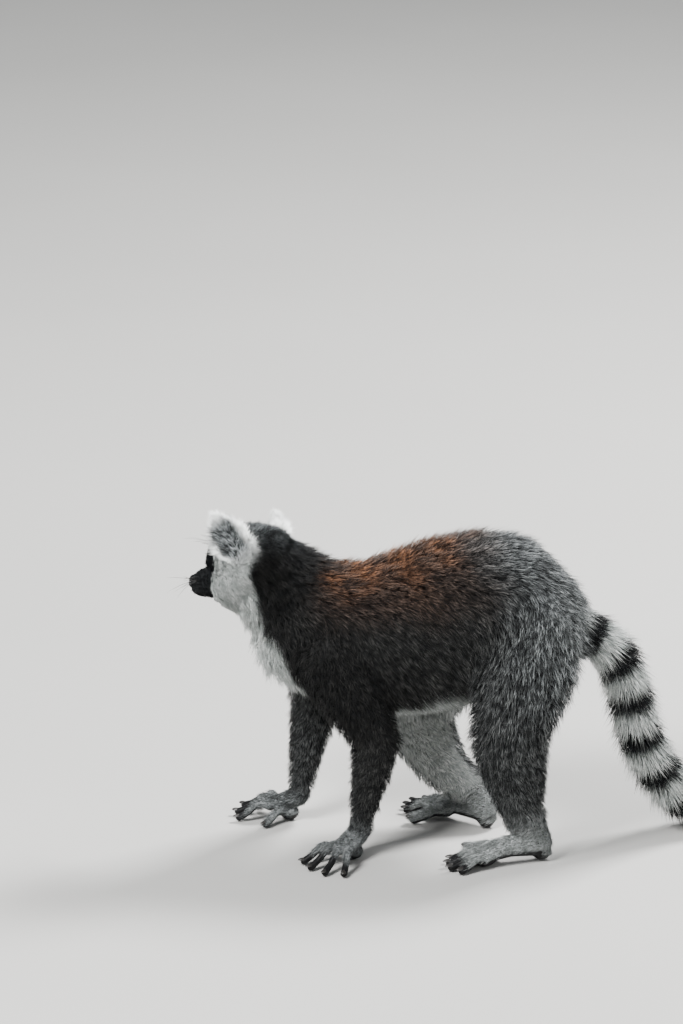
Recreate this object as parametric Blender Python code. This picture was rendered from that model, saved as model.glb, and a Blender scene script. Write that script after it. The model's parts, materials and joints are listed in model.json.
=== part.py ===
"""Ring-tailed lemur, life size, standing on all fours with its head turned to its right and its tail trailing.

Metres, +Z up. The animal faces -X, its left side is towards -Y, and its hands, feet and tail rest on z = 0.
Every solid is the outline of the coat. Body, head, hands and feet are each grown together from simple
volumes, then parted at the joints with thin gaps. Positions below are from the point under its chest and
belly, and the finished animal is moved so that the origin is under the middle of its box.
"""
import math

import bmesh
import bpy
from mathutils import Matrix, Vector

# Driving sizes
HIP_HEIGHT = 0.234
SHOULDER_HEIGHT = 0.205
HALF_TRACK = 0.050          # hands and feet stand this far to each side
LIMB_LEVEL = 0.120          # elbows and knees, where the lower limbs are parted from the upper
HEAD_CENTRE = Vector((-0.1605, 0.010, 0.2835))
HEAD_YAW = math.radians(-40)
HEAD_PITCH = math.radians(-15)
HEAD_ROLL = math.radians(-12)
EAR_HEIGHT = 0.054
EAR_HALF_WIDTH = 0.0235
EYE_RADIUS = 0.0082
TAIL_RADIUS = 0.0275
TAIL_NODES = 6
HAND_HEADING = {"left": math.radians(230), "right": math.radians(156)}   # from +X, seen from above
FOOT_HEADING = {"left": math.radians(196), "right": math.radians(143)}
HEAD_CUT = (Vector((-0.146, 0.010, 0.2685)), Vector((-0.72, 0.28, 0.62)))   # a point and the way forward
NECK_CUT = (Vector((-0.112, 0.000, 0.2500)), Vector((-0.75, 0.05, 0.66)))

# Construction
GAP = 0.0006                # between neighbouring solids
CLEAR = 0.004               # how far a limb's region reaches past its own surface
VOXEL = 0.0023
FINE_VOXEL = 0.0011
FLAT_DEPTH = 0.0008         # how far soles dip under the floor before they are cut flat
SIDES = (("left", -1), ("right", 1))
UP = Vector((0, 0, 1))
FORE = Vector((1, 0, 0))

HEAD = (Matrix.Translation(HEAD_CENTRE) @ Matrix.Rotation(HEAD_YAW, 4, "Z")
        @ Matrix.Rotation(HEAD_PITCH, 4, "Y") @ Matrix.Rotation(HEAD_ROLL, 4, "X"))

# Triangles kept in each skin before it is parted
BUDGET = {"body": 2080, "head": 1320, "hand": 460, "foot": 600}

COLOURS = {  # mean colour of each coat, and of the eyes
    "head": (0.42, 0.43, 0.43),
    "ear": (0.85, 0.85, 0.83),
    "neck": (0.07, 0.07, 0.07),
    "trunk": (0.13, 0.11, 0.10),
    "upper_arm": (0.08, 0.08, 0.08),
    "forearm": (0.12, 0.13, 0.13),
    "hand": (0.07, 0.07, 0.08),
    "thigh": (0.16, 0.17, 0.18),
    "shank": (0.20, 0.21, 0.21),
    "foot": (0.22, 0.23, 0.24),
    "tail": (0.30, 0.30, 0.30),
    "eye": (0.60, 0.25, 0.03),
}

TRUNK = [  # x, y, z, half depth, half width
    (-0.112, 0.0, 0.217, 0.060, 0.042),
    (-0.085, 0.0, 0.216, 0.073, 0.053),
    (-0.050, 0.0, 0.211, 0.077, 0.059),
    (-0.010, 0.0, 0.2155, 0.082, 0.062),
    (0.034, 0.0, 0.228, 0.085, 0.064),
    (0.070, 0.0, 0.238, 0.080, 0.065),
    (0.100, 0.0, 0.233, 0.075, 0.063),
    (0.127, 0.0, 0.226, 0.054, 0.054),
    (0.146, 0.0, 0.216, 0.037, 0.042),
    (0.157, 0.0, 0.207, 0.025, 0.030),
]

NECK = [
    (-0.165, 0.011, 0.2715, 0.042, 0.033),
    (-0.143, 0.006, 0.265, 0.0505, 0.037),
    (-0.121, 0.004, 0.2525, 0.054, 0.042),
    (-0.102, 0.000, 0.2345, 0.065, 0.049),
    (-0.080, 0.000, 0.218, 0.072, 0.052),
]


# ---------------------------------------------------------------- small tools
def clear_scene():
    for obj in list(bpy.data.objects):
        bpy.data.objects.remove(obj)


def new_object(name, bm):
    mesh = bpy.data.meshes.new(name)
    bm.normal_update()
    bm.to_mesh(mesh)
    bm.free()
    obj = bpy.data.objects.new(name, mesh)
    bpy.context.scene.collection.objects.link(obj)
    return obj


def settle(obj):
    """Applies the object's modifiers."""
    bpy.context.view_layer.update()
    mesh = bpy.data.meshes.new_from_object(obj.evaluated_get(bpy.context.evaluated_depsgraph_get()))
    obj.modifiers.clear()
    obj.data = mesh
    return obj


def copy_of(obj):
    twin = bpy.data.objects.new(obj.name, obj.data.copy())
    bpy.context.scene.collection.objects.link(twin)
    return twin


def smooth_path(stations, steps):
    """Catmull-Rom through rows of numbers, with steps spans between each two rows."""
    rows = [stations[0], *stations, stations[-1]]
    path = []
    for span in zip(rows, rows[1:], rows[2:], rows[3:]):
        for t in (i / steps for i in range(steps)):
            path.append([
                q + 0.5 * t * ((r - p) + t * (2 * p - 5 * q + 4 * r - s) + t * t * (3 * q - p - 3 * r + s))
                for p, q, r, s in zip(*span)
            ])
    return path + [list(stations[-1])]


def tube(stations, reference, steps=4, sides=24, grow=0.0):
    """Elliptical rings along stations of (x, y, z, half depth, half width), lofted, with rounded ends.

    Half depth is measured along reference, square to the path."""
    bm = bmesh.new()
    path = smooth_path(stations, steps)
    points = [Vector(row[:3]) for row in path]
    rings = []
    for i, row in enumerate(path):
        ahead = (points[min(i + 1, len(points) - 1)] - points[max(i - 1, 0)]).normalized()
        depth = (reference - ahead * reference.dot(ahead)).normalized()
        half_depth, half_width = row[3] + grow, row[4] + grow
        ring = (ahead, depth * half_depth, ahead.cross(depth) * half_width, half_depth)
        if i == 0:
            rings += [(points[i], -0.76, 0.3, ring), (points[i], -0.48, 0.8, ring)]
        rings.append((points[i], 0.0, 1.0, ring))
        if i == len(path) - 1:
            rings += [(points[i], 0.48, 0.8, ring), (points[i], 0.76, 0.3, ring)]
    loops = []
    for centre, along, share, (ahead, depth, width, reach) in rings:
        middle = centre + ahead * along * reach
        spokes = [depth * math.cos(math.tau * k / sides) + width * math.sin(math.tau * k / sides)
                  for k in range(sides)]
        loops.append([bm.verts.new(middle + share * spoke) for spoke in spokes])
    for a, b in zip(loops, loops[1:]):
        for k in range(sides):
            m = (k + 1) % sides
            bm.faces.new((a[k], a[m], b[m], b[k]))
    bm.faces.new(loops[0][::-1])
    bm.faces.new(loops[-1])
    bmesh.ops.recalc_face_normals(bm, faces=bm.faces)
    return bm


def ball(centre, radii, frame=Matrix.Identity(4), rings=20):
    """An ellipsoid in the given frame."""
    bm = bmesh.new()
    bmesh.ops.create_uvsphere(bm, u_segments=rings + 8, v_segments=rings, radius=1.0)
    bm.transform(frame @ Matrix.Translation(Vector(centre)) @ Matrix.Diagonal((*radii, 1.0)))
    return bm


def fused(name, pieces, voxel, smoothing):
    """The pieces grown together into one skin, with their creases filled."""
    whole = bmesh.new()
    for piece in pieces:
        mesh = bpy.data.meshes.new("piece")
        piece.to_mesh(mesh)
        piece.free()
        whole.from_mesh(mesh)
        bpy.data.meshes.remove(mesh)
    obj = new_object(name, whole)
    remesh = obj.modifiers.new("fuse", "REMESH")
    remesh.mode = "VOXEL"
    remesh.voxel_size = voxel
    soften = obj.modifiers.new("soften", "SMOOTH")
    soften.factor = 0.5
    soften.iterations = smoothing
    return settle(obj)


def combine(obj, tool_bm, operation):
    """A Boolean. These dense closed skins lose pieces under the EXACT solver, so it is MANIFOLD."""
    tool = new_object("cutter", tool_bm)
    cut = obj.modifiers.new("cut", "BOOLEAN")
    cut.operation = operation
    cut.solver = "MANIFOLD"
    cut.object = tool
    settle(obj)
    bpy.data.objects.remove(tool)
    return obj


def half_space(point, normal):
    """A metre cube that stands on the plane through point, on the side that normal points to."""
    bm = bmesh.new()
    bmesh.ops.create_cube(bm, size=1.0)
    turn = UP.rotation_difference(Vector(normal).normalized()).to_matrix().to_4x4()
    bm.transform(Matrix.Translation(Vector(point)) @ turn @ Matrix.Translation((0, 0, 0.5)))
    return bm


def kept_behind(obj, point, normal):
    """Cuts off what lies ahead of a plane, and half a gap more."""
    normal = Vector(normal).normalized()
    return combine(obj, half_space(Vector(point) - normal * (GAP / 2), normal), "DIFFERENCE")


def parted(obj, point, normal):
    """Cuts the object on a plane. Gives the piece behind the plane and the piece ahead of it."""
    ahead = kept_behind(copy_of(obj), point, -Vector(normal))
    return kept_behind(obj, point, normal), ahead


def taken_out(obj, region):
    """Takes what lies in a region out of the object. region(grow) gives the region's bmesh."""
    piece = copy_of(obj)
    combine(piece, region(0.0), "INTERSECT")
    combine(obj, region(GAP), "DIFFERENCE")
    return piece


def islands(bm):
    """The vertices of each loose shell, largest shell first."""
    seen, groups = set(), []
    bm.verts.index_update()
    for start in bm.verts:
        if start.index in seen:
            continue
        seen.add(start.index)
        stack, group = [start], []
        while stack:
            vert = stack.pop()
            group.append(vert)
            for edge in vert.link_edges:
                other = edge.other_vert(vert)
                if other.index not in seen:
                    seen.add(other.index)
                    stack.append(other)
        groups.append(group)
    return sorted(groups, key=len, reverse=True)


def keep_shell(obj, near=None):
    """Keeps one loose shell: the largest, or the one whose middle is nearest to a point."""
    bm = bmesh.new()
    bm.from_mesh(obj.data)
    groups = islands(bm)
    if near is not None:
        groups = groups[:4]
        groups.sort(key=lambda group: (sum((vert.co for vert in group), Vector()) / len(group) - near).length)
    kept = set(groups[0])
    bmesh.ops.delete(bm, geom=[vert for vert in bm.verts if vert not in kept], context="VERTS")
    bm.to_mesh(obj.data)
    bm.free()
    return obj


def thin_out(obj, budget):
    """Collapses the mesh to its budget of triangles, and takes off any flap that this leaves on it."""
    thin = obj.modifiers.new("thin", "DECIMATE")
    thin.ratio = budget / sum(len(face.vertices) - 2 for face in obj.data.polygons)
    thin.use_collapse_triangulate = True
    settle(obj)
    bm = bmesh.new()
    bm.from_mesh(obj.data)
    flaps = [face for face in bm.faces if any(len(edge.link_faces) == 1 for edge in face.edges)]
    bmesh.ops.delete(bm, geom=flaps, context="FACES")
    bm.to_mesh(obj.data)
    bm.free()
    return obj


def finish_node(obj, name):
    """One solid, with its name and its coat's colour."""
    colour = COLOURS[name] if name in COLOURS else COLOURS[name.rsplit("_", 1)[0]]
    obj.name = name
    keep_shell(obj)
    obj.data.name = name
    obj.data.shade_smooth()
    material = bpy.data.materials.new(name)
    material.use_nodes = True
    shader = material.node_tree.nodes["Principled BSDF"]
    shader.inputs["Base Color"].default_value = (*colour, 1.0)
    shader.inputs["Roughness"].default_value = 0.10 if name.startswith("eye") else 0.85
    shader.inputs["Metallic"].default_value = 0.0
    obj.data.materials.clear()
    obj.data.materials.append(material)


# ---------------------------------------------------------------- limbs and tail
def arm_joints(side):
    """Shoulder, elbow and wrist. The right hand is set a pace ahead of the left."""
    if side < 0:
        rows = (-0.084, 0.040, SHOULDER_HEIGHT), (-0.036, 0.048, 0.124), (-0.053, HALF_TRACK - 0.008, 0.026)
    else:
        rows = (-0.088, 0.040, SHOULDER_HEIGHT), (-0.097, 0.053, 0.122), (-0.113, HALF_TRACK + 0.007, 0.026)
    return [Vector((x, side * y, z)) for x, y, z in rows]


def leg_joints(side):
    """Hip, knee and ankle. The right thigh swings well forward, the left one stands nearly under the hip."""
    if side < 0:
        rows = (0.117, 0.041, HIP_HEIGHT), (0.090, 0.059, 0.137), (0.111, 0.055, 0.036)
    else:
        rows = (0.108, 0.041, HIP_HEIGHT), (-0.006, 0.050, 0.134), (0.062, 0.046, 0.035)
    return [Vector((x, side * y, z)) for x, y, z in rows]


def upper_arm_rows(joints):
    shoulder, elbow, _ = joints
    return [(*shoulder, 0.036, 0.025), (*shoulder.lerp(elbow, 0.5), 0.034, 0.025), (*elbow, 0.0245, 0.0215)]


def forearm_rows(joints):
    _, elbow, wrist = joints
    return [(*elbow, 0.0245, 0.0215), (*elbow.lerp(wrist, 0.45), 0.0190, 0.0175),
            (*elbow.lerp(wrist, 0.80), 0.0135, 0.0130), (*wrist, 0.0108, 0.0112)]


def thigh_rows(joints):
    hip, knee, _ = joints
    return [(*hip, 0.046, 0.026), (*hip.lerp(knee, 0.35), 0.053, 0.029), (*hip.lerp(knee, 0.70), 0.048, 0.030),
            (*knee, 0.040, 0.029)]


def shank_rows(joints):
    _, knee, ankle = joints
    bow = FORE * (ankle - knee).x * 0.16
    return [(*knee, 0.040, 0.029), (*(knee.lerp(ankle, 0.36) - bow), 0.0345, 0.0265),
            (*(knee.lerp(ankle, 0.74) - bow * 1.2), 0.0255, 0.0205), (*ankle, 0.0180, 0.0160)]


def tail_rows():
    """From the rump down and back, then lying on the floor in a slow bend to the animal's right."""
    lying = TAIL_RADIUS - FLAT_DEPTH
    route = [
        (0.159, 0.000, 0.226), (0.176, 0.003, 0.214), (0.196, 0.006, 0.187), (0.213, 0.012, 0.144),
        (0.223, 0.018, 0.098), (0.243, 0.027, 0.056), (0.280, 0.041, 0.0315), (0.332, 0.058, lying),
        (0.382, 0.074, lying), (0.434, 0.082, lying), (0.486, 0.080, lying), (0.534, 0.066, lying * 0.98),
        (0.572, 0.042, lying * 0.84),
    ]
    swell = (0.62, 0.74, 0.84, 0.92, 0.97, 1.0, 1.0, 1.0, 1.0, 1.0, 1.0, 0.98, 0.84)
    return [(*point, TAIL_RADIUS * share, TAIL_RADIUS * share) for point, share in zip(route, swell)]


def ground_frame(heading, side):
    """Unit vectors along a hand or foot and towards its inner side, and the sign of a turn to that side."""
    along = Vector((math.cos(heading), math.sin(heading), 0.0))
    across = Vector((-along.y, along.x, 0.0))
    turn = 1.0 if across.y * side < 0 else -1.0
    return along, across * turn, turn


def digit(base, heading, length, radius, arch):
    """A finger or toe: up over its middle joint and down to a padded tip on the floor."""
    along = Vector((math.cos(heading), math.sin(heading), 0.0))
    tip = radius * 1.05 - FLAT_DEPTH
    knee = base + along * length * 0.36 + UP * arch
    low = base + along * length * 0.72
    end = base + along * length
    rows = [(*base, radius * 1.1, radius * 1.1), (*knee, radius, radius),
            (low.x, low.y, knee.z * 0.36 + tip * 0.64, radius * 0.92, radius * 0.92),
            (end.x, end.y, tip, radius * 1.05, radius * 1.15)]
    return tube(rows, UP, steps=3, sides=12)


def hand_pieces(wrist, heading, side):
    """Palm, heel and five digits. The thumb is on the inner side and stands well apart."""
    along, inward, turn = ground_frame(heading, side)
    foot_of_wrist = Vector((wrist.x, wrist.y, 0.0))
    knuckles = foot_of_wrist + along * 0.026 + UP * 0.0150
    palm = [(*wrist, 0.0100, 0.0110), (*wrist.lerp(knuckles, 0.45), 0.0090, 0.0122),
            (*knuckles, 0.0070, 0.0135)]
    heel = foot_of_wrist + along * 0.010 + UP * (0.0085 - FLAT_DEPTH)
    pieces = [tube(palm, UP, steps=3, sides=16), ball(heel, (0.0105, 0.0105, 0.0087))]
    for offset, degrees, length in ((0.0105, 30, 0.031), (0.0040, 10, 0.036), (-0.0035, -9, 0.038),
                                    (-0.0105, -28, 0.032)):
        base = knuckles + inward * offset - UP * 0.0010
        pieces.append(digit(base, heading + turn * math.radians(degrees), length, 0.0042, 0.0040))
    thumb = foot_of_wrist + along * 0.012 + inward * 0.010 + UP * 0.011
    pieces.append(digit(thumb, heading + turn * math.radians(68), 0.024, 0.0044, 0.0015))
    return pieces


def foot_pieces(ankle, heading, side):
    """Heel, long sole and five toes. The great toe is thick and set off to the inner side."""
    along, inward, turn = ground_frame(heading, side)
    under = Vector((ankle.x, ankle.y, 0.0))
    heel = under - along * 0.013 + UP * 0.0165
    instep = under + along * 0.022 + UP * 0.0175
    fore_pad = under + along * 0.046 + UP * 0.0110
    pieces = [
        tube([(*ankle, 0.0165, 0.0150), (*ankle.lerp(heel, 0.6), 0.0145, 0.0135), (*heel, 0.0120, 0.0115)],
             along, steps=3, sides=16),
        tube([(*heel, 0.0125, 0.0115), (*instep, 0.0115, 0.0120), (*fore_pad, 0.0090, 0.0145)],
             UP, steps=3, sides=16),
        ball((heel.x, heel.y, 0.0100 - FLAT_DEPTH), (0.0105, 0.0100, 0.0100)),
        ball((fore_pad.x, fore_pad.y, 0.0085 - FLAT_DEPTH), (0.013, 0.013, 0.0085)),
    ]
    for offset, degrees, length in ((0.0090, 14, 0.028), (0.0030, 4, 0.033), (-0.0035, -6, 0.035),
                                    (-0.0100, -17, 0.029)):
        base = fore_pad + inward * offset - UP * 0.0020
        pieces.append(digit(base, heading + turn * math.radians(degrees), length, 0.0046, 0.0030))
    great_toe = under + along * 0.026 + inward * 0.011 + UP * 0.0115
    pieces.append(digit(great_toe, heading + turn * math.radians(46), 0.034, 0.0060, 0.0010))
    return pieces


# ---------------------------------------------------------------- head
def head_pieces():
    """Cranium, face, cheeks, brows, jaw and muzzle, made in the head's own frame: forward is -X."""
    pieces = [
        ball((0.003, 0, 0.0035), (0.0400, 0.0345, 0.0350), HEAD),
        ball((0.020, 0, 0.001), (0.0360, 0.0330, 0.0345), HEAD),
        ball((-0.020, 0, 0.001), (0.0235, 0.0265, 0.0260), HEAD),
        ball((-0.024, 0, -0.0235), (0.0255, 0.0170, 0.0140), HEAD),
    ]
    for _, side in SIDES:
        pieces.append(ball((-0.006, side * 0.016, -0.017), (0.0265, 0.0195, 0.0210), HEAD))
        pieces.append(ball((-0.0270, side * 0.0130, 0.0120), (0.0115, 0.0110, 0.0095), HEAD))
    snout = tube([
        (-0.028, 0, -0.0115, 0.0175, 0.0165), (-0.042, 0, -0.0154, 0.0167, 0.0135),
        (-0.056, 0, -0.0165, 0.0145, 0.0110), (-0.067, 0, -0.0165, 0.0130, 0.0088),
        (-0.0740, 0, -0.0145, 0.0080, 0.0066),
    ], UP, steps=4, sides=20)
    snout.transform(HEAD)
    return [*pieces, snout]


def ear_frame(side):
    """At the ear's root, +Z to its tip and +Y out of its opening, which faces outwards."""
    root, tip = Vector((0.016, side * 0.027, 0.004)), Vector((-0.004, side * 0.044, 0.050))
    up = (tip - root).normalized()
    opening = Vector((0.25, side * 0.95, -0.05))
    opening = (opening - up * opening.dot(up)).normalized()
    frame = Matrix((opening.cross(up), opening, up)).transposed().to_4x4()
    frame.translation = root
    return HEAD @ frame


def ear_leaf(side, grow=0.0):
    """A pointed leaf, cupped towards its opening."""
    bm = bmesh.new()
    bmesh.ops.create_uvsphere(bm, u_segments=20, v_segments=14, radius=1.0)
    for vert in bm.verts:
        x, y, z = vert.co
        rise = (z + 1) / 2
        taper = 1.0 - 0.45 * rise ** 1.6
        wide = x * EAR_HALF_WIDTH * taper
        cup = 15.0 * wide * wide - 0.0045 * math.sin(math.pi * rise)
        vert.co = (wide + x * grow, y * (0.0034 + grow) + cup, rise * EAR_HEIGHT - 0.004 + z * grow)
    bm.transform(ear_frame(side))
    return bm


def eye_centre(side):
    return HEAD @ Vector((-0.0318, side * 0.0138, 0.0035))


# ---------------------------------------------------------------- the whole animal
def cut_at_floor(obj):
    return combine(obj, half_space((0, 0, 0), -UP), "DIFFERENCE")


def make_head():
    """The head with its ears and eyes, parted from the neck. Its skin is finer than the body's."""
    head = fused("head", [*head_pieces(), tube(NECK, UP, steps=3), ear_leaf(-1), ear_leaf(1)], FINE_VOXEL, 6)
    kept_behind(thin_out(head, BUDGET["head"]), HEAD_CUT[0], -HEAD_CUT[1])
    for name, side in SIDES:
        ear = taken_out(head, lambda grow, side=side: ear_leaf(side, 0.0022 + grow))
        finish_node(ear, "ear_" + name)
        combine(head, ball(eye_centre(side), (EYE_RADIUS + GAP,) * 3, rings=10), "DIFFERENCE")
        eye = bmesh.new()
        bmesh.ops.create_uvsphere(eye, u_segments=12, v_segments=8, radius=EYE_RADIUS)
        eye.transform(Matrix.Translation(eye_centre(side)))
        finish_node(new_object("eye", eye), "eye_" + name)
    finish_node(head, "head")


def make_tail(body):
    """The tail, taken out of the rump and parted into equal lengths."""
    rows = tail_rows()
    rest = taken_out(body, lambda grow: tube(rows, UP, steps=1, sides=12, grow=CLEAR + grow))
    route = [Vector(row[:3]) for row in smooth_path(rows, 8)]
    for k in range(1, TAIL_NODES):
        at = round((len(route) - 1) * k / TAIL_NODES)
        length, rest = parted(rest, route[at], route[at + 1] - route[at - 1])
        finish_node(length, f"tail_{k}")
    finish_node(rest, f"tail_{TAIL_NODES}")


def make_lower_limb(lower, limb_name, end_name, joints, rows, pieces):
    """A forearm or shank from the body's own skin, and its hand or foot from a finer one."""
    _, middle_joint, end_joint = joints
    joint, direction = middle_joint.lerp(end_joint, 0.92), end_joint - middle_joint
    limb = keep_shell(copy_of(lower), near=middle_joint.lerp(end_joint, 0.5))
    finish_node(kept_behind(limb, joint, direction), limb_name)
    end = fused(end_name, [tube(rows, FORE), *pieces], FINE_VOXEL, 3)
    cut_at_floor(thin_out(end, BUDGET[end_name.split("_")[0]]))
    finish_node(kept_behind(end, joint, -direction), end_name)


def make_upper_limb(body, name, rows):
    limb = taken_out(body, lambda grow: tube(rows, FORE, steps=1, sides=10, grow=CLEAR + grow))
    finish_node(limb, name)


def centre_on_floor():
    """Puts the origin on the floor under the middle of the whole animal's box."""
    points = [vert.co for obj in bpy.data.objects for vert in obj.data.vertices]
    middle = [(min(p[i] for p in points) + max(p[i] for p in points)) / 2 for i in range(2)]
    for obj in bpy.data.objects:
        obj.data.transform(Matrix.Translation((-middle[0], -middle[1], 0.0)))


def main():
    clear_scene()
    pieces = [tube(TRUNK, UP), tube(NECK, UP, steps=3), *head_pieces(), tube(tail_rows(), UP)]
    for _, side in SIDES:
        arm, leg = arm_joints(side), leg_joints(side)
        for rows in (upper_arm_rows(arm), forearm_rows(arm), thigh_rows(leg), shank_rows(leg)):
            pieces.append(tube(rows, FORE))
    body = cut_at_floor(thin_out(fused("body", pieces, VOXEL, 8), BUDGET["body"]))
    make_tail(body)
    lower, body = parted(body, (0, 0, LIMB_LEVEL), UP)

    for name, side in SIDES:
        arm, leg = arm_joints(side), leg_joints(side)
        make_lower_limb(lower, "forearm_" + name, "hand_" + name, arm, forearm_rows(arm),
                        hand_pieces(arm[2], HAND_HEADING[name], side))
        make_lower_limb(lower, "shank_" + name, "foot_" + name, leg, shank_rows(leg),
                        foot_pieces(leg[2], FOOT_HEADING[name], side))
        make_upper_limb(body, "thigh_" + name, thigh_rows(leg))
        make_upper_limb(body, "upper_arm_" + name, upper_arm_rows(arm))
    bpy.data.objects.remove(lower)

    trunk, neck = parted(body, *NECK_CUT)
    finish_node(trunk, "trunk")
    finish_node(kept_behind(neck, *HEAD_CUT), "neck")
    make_head()
    centre_on_floor()


main()
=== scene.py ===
"""The looks of a life-size ring-tailed lemur: one skin, its coat in tufts, eyes, lids, nails and whiskers.

Metres, +Z up. The animal faces -X with its left side towards -Y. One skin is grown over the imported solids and
drawn in by the depth of the coat. It carries the lie, length and colours of the hair as attributes, and the
coat is grown from those.
"""
import json
import math

import bmesh
import bpy
import numpy as np
from bpy.props import FloatProperty, FloatVectorProperty, IntProperty, PointerProperty
from mathutils import Matrix, Vector
from mathutils.bvhtree import BVHTree

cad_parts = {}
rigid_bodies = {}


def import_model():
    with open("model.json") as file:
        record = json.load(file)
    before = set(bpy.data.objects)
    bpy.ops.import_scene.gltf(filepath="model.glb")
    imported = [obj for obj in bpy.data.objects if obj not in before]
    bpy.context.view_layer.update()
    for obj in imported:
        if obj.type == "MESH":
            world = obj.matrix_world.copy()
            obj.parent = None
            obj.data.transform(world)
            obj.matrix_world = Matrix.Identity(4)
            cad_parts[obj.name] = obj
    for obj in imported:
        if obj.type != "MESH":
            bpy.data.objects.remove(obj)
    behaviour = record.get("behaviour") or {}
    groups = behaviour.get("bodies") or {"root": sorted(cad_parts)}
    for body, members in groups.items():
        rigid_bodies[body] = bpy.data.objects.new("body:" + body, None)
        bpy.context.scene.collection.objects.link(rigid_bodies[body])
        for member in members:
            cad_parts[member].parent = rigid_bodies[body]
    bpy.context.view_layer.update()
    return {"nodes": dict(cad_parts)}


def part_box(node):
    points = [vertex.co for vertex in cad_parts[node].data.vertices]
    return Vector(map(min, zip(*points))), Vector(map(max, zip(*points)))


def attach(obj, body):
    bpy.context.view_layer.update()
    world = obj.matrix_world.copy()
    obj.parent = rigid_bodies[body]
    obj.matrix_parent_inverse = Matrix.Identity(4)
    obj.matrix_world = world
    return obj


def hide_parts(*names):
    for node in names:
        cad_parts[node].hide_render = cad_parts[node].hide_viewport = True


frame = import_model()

bl_info = {
    "name": "Ring-tailed lemur",
    "version": (1, 0, 0),
    "blender": (4, 5, 0),
    "location": "View3D > Sidebar > Lemur",
    "description": "Grows the skin and coat of a ring-tailed lemur over its solids",
    "category": "Object",
}

SIDES = (("left", -1), ("right", 1))
UP = np.array((0.0, 0.0, 1.0))
BODY = "root"
FLESH = sorted(name for name in frame["nodes"] if not name.startswith("eye_"))
TAIL = [f"tail_{k}" for k in range(1, 7)]

# ---------------------------------------------------------------- places taken from the solids
def centre(node):
    """The middle of a solid's box."""
    low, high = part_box(node)
    return (low + high) / 2


HEAD_TURN = (Matrix.Rotation(math.radians(-40), 4, "Z") @ Matrix.Rotation(math.radians(-15), 4, "Y")
             @ Matrix.Rotation(math.radians(-12), 4, "X"))
EYE_PLACE = Vector((-0.0318, 0.0138, 0.0035))     # in the head's own frame, forward -X
NOSTRIL = (-0.0785, 0.0043, -0.0135)
FACE_START = -0.012                               # the face lies ahead of this
BETWEEN_EYES = (centre("eye_left") + centre("eye_right")) / 2
HEAD = Matrix.Translation(BETWEEN_EYES - HEAD_TURN @ Vector((EYE_PLACE.x, 0, EYE_PLACE.z))) @ HEAD_TURN
EYE_RADIUS = (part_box("eye_left")[1].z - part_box("eye_left")[0].z) / 2
CHEST = HEAD.translation - Vector((-0.1605, 0.010, 0.2835))    # the point under the chest and belly

# Hands and feet: the joint above each, and its heading from +X, seen from above
PAWS = {
    ("hand", "left"): (Vector((-0.053, -0.042, 0.026)) + CHEST, math.radians(230)),
    ("hand", "right"): (Vector((-0.113, 0.057, 0.026)) + CHEST, math.radians(156)),
    ("foot", "left"): (Vector((0.111, -0.055, 0.036)) + CHEST, math.radians(196)),
    ("foot", "right"): (Vector((0.062, 0.046, 0.035)) + CHEST, math.radians(143)),
}


def linear(code):
    """An sRGB hex colour as linear light."""
    parts = [int(code[k:k + 2], 16) / 255 for k in (0, 2, 4)]
    return tuple(c / 12.92 if c <= 0.04045 else ((c + 0.055) / 1.055) ** 2.4 for c in parts)


def shade(name, code, description):
    return FloatVectorProperty(name=name, description=description, subtype="COLOR", size=3,
                               min=0.0, max=1.0, default=linear(code))


def metres(name, size, description):
    return FloatProperty(name=name, description=description, default=size, min=0.0, subtype="DISTANCE", unit="LENGTH")


# ---------------------------------------------------------------- what a user would change
class SkinSizes(bpy.types.PropertyGroup):
    voxel: metres("Voxel", 0.0015, "Grid on which the solids are grown into one skin")
    eye_opening: FloatProperty(name="Eye opening", description="Half the angle that the lids leave open",
                               default=math.radians(46), subtype="ANGLE")
    lid_thickness: metres("Lid thickness", 0.0009, "Thickness of the bare rim of each lid")
    tail_core: metres("Tail core", 0.0105, "Radius of the tail under its hair")
    triangles: IntProperty(name="Triangles", description="Triangles in the finished skin", default=150000)


class CoatSizes(bpy.types.PropertyGroup):
    tufts: IntProperty(name="Tufts", description="Long tufts in the whole coat", default=107000, min=1000)
    short_tufts: IntProperty(name="Short tufts", description="Short tufts on face, crown, ears, hands and feet",
                             default=105000, min=1000)
    stray: FloatProperty(name="Stray", description="How far a tuft's tip strays, as a share of its length",
                         default=0.16, subtype="FACTOR")
    patch: metres("Patch", 0.003, "Width of a tuft's patch on the unwrap")
    floor: metres("Floor clearance", 0.0006, "Lowest that a tuft may hang")


class CoatColours(bpy.types.PropertyGroup):
    black: shade("Black", "060708", "Face mask, muzzle and the dark rings of the tail")
    # The slate tips are partly the black hair's own tone and partly a painted sheen where light catches them.
    slate: shade("Slate", "15191C", "Tips of the black hair, where light catches them")
    white: shade("White", "FEFFFD", "Tips on cheeks, ears, throat, belly and the pale rings of the tail")
    # The cream roots are greyer than the white hair itself: painted shade deep in the coat, which makes the strands
    # show.
    cream: shade("Cream", "9FA5A2", "Roots of the white hair")
    charcoal: shade("Charcoal", "0A0C0E", "Roots on neck, shoulders, flanks and limbs")
    grizzle: shade("Grizzle", "474542", "Tips on the flanks and the limbs")
    frost: shade("Frost", "BCC2C3", "Tips on crown and rump")
    umber: shade("Umber", "1C140F", "Roots along the back")
    rust: shade("Rust", "A8724F", "Tips along the back")
    amber: shade("Amber", "B9570E", "Iris")


class StageSizes(bpy.types.PropertyGroup):
    distance: metres("Distance", 5.0, "From the camera to the animal")
    elevation: FloatProperty(name="Elevation", description="Of the camera above the horizon",
                             default=math.radians(17), subtype="ANGLE")
    frame_height: metres("Frame height", 0.983, "Height of the camera's view at the animal")


# ---------------------------------------------------------------- tools
MATH, VECTOR, STORE = "ShaderNodeMath", "ShaderNodeVectorMath", "GeometryNodeStoreNamedAttribute"


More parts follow.
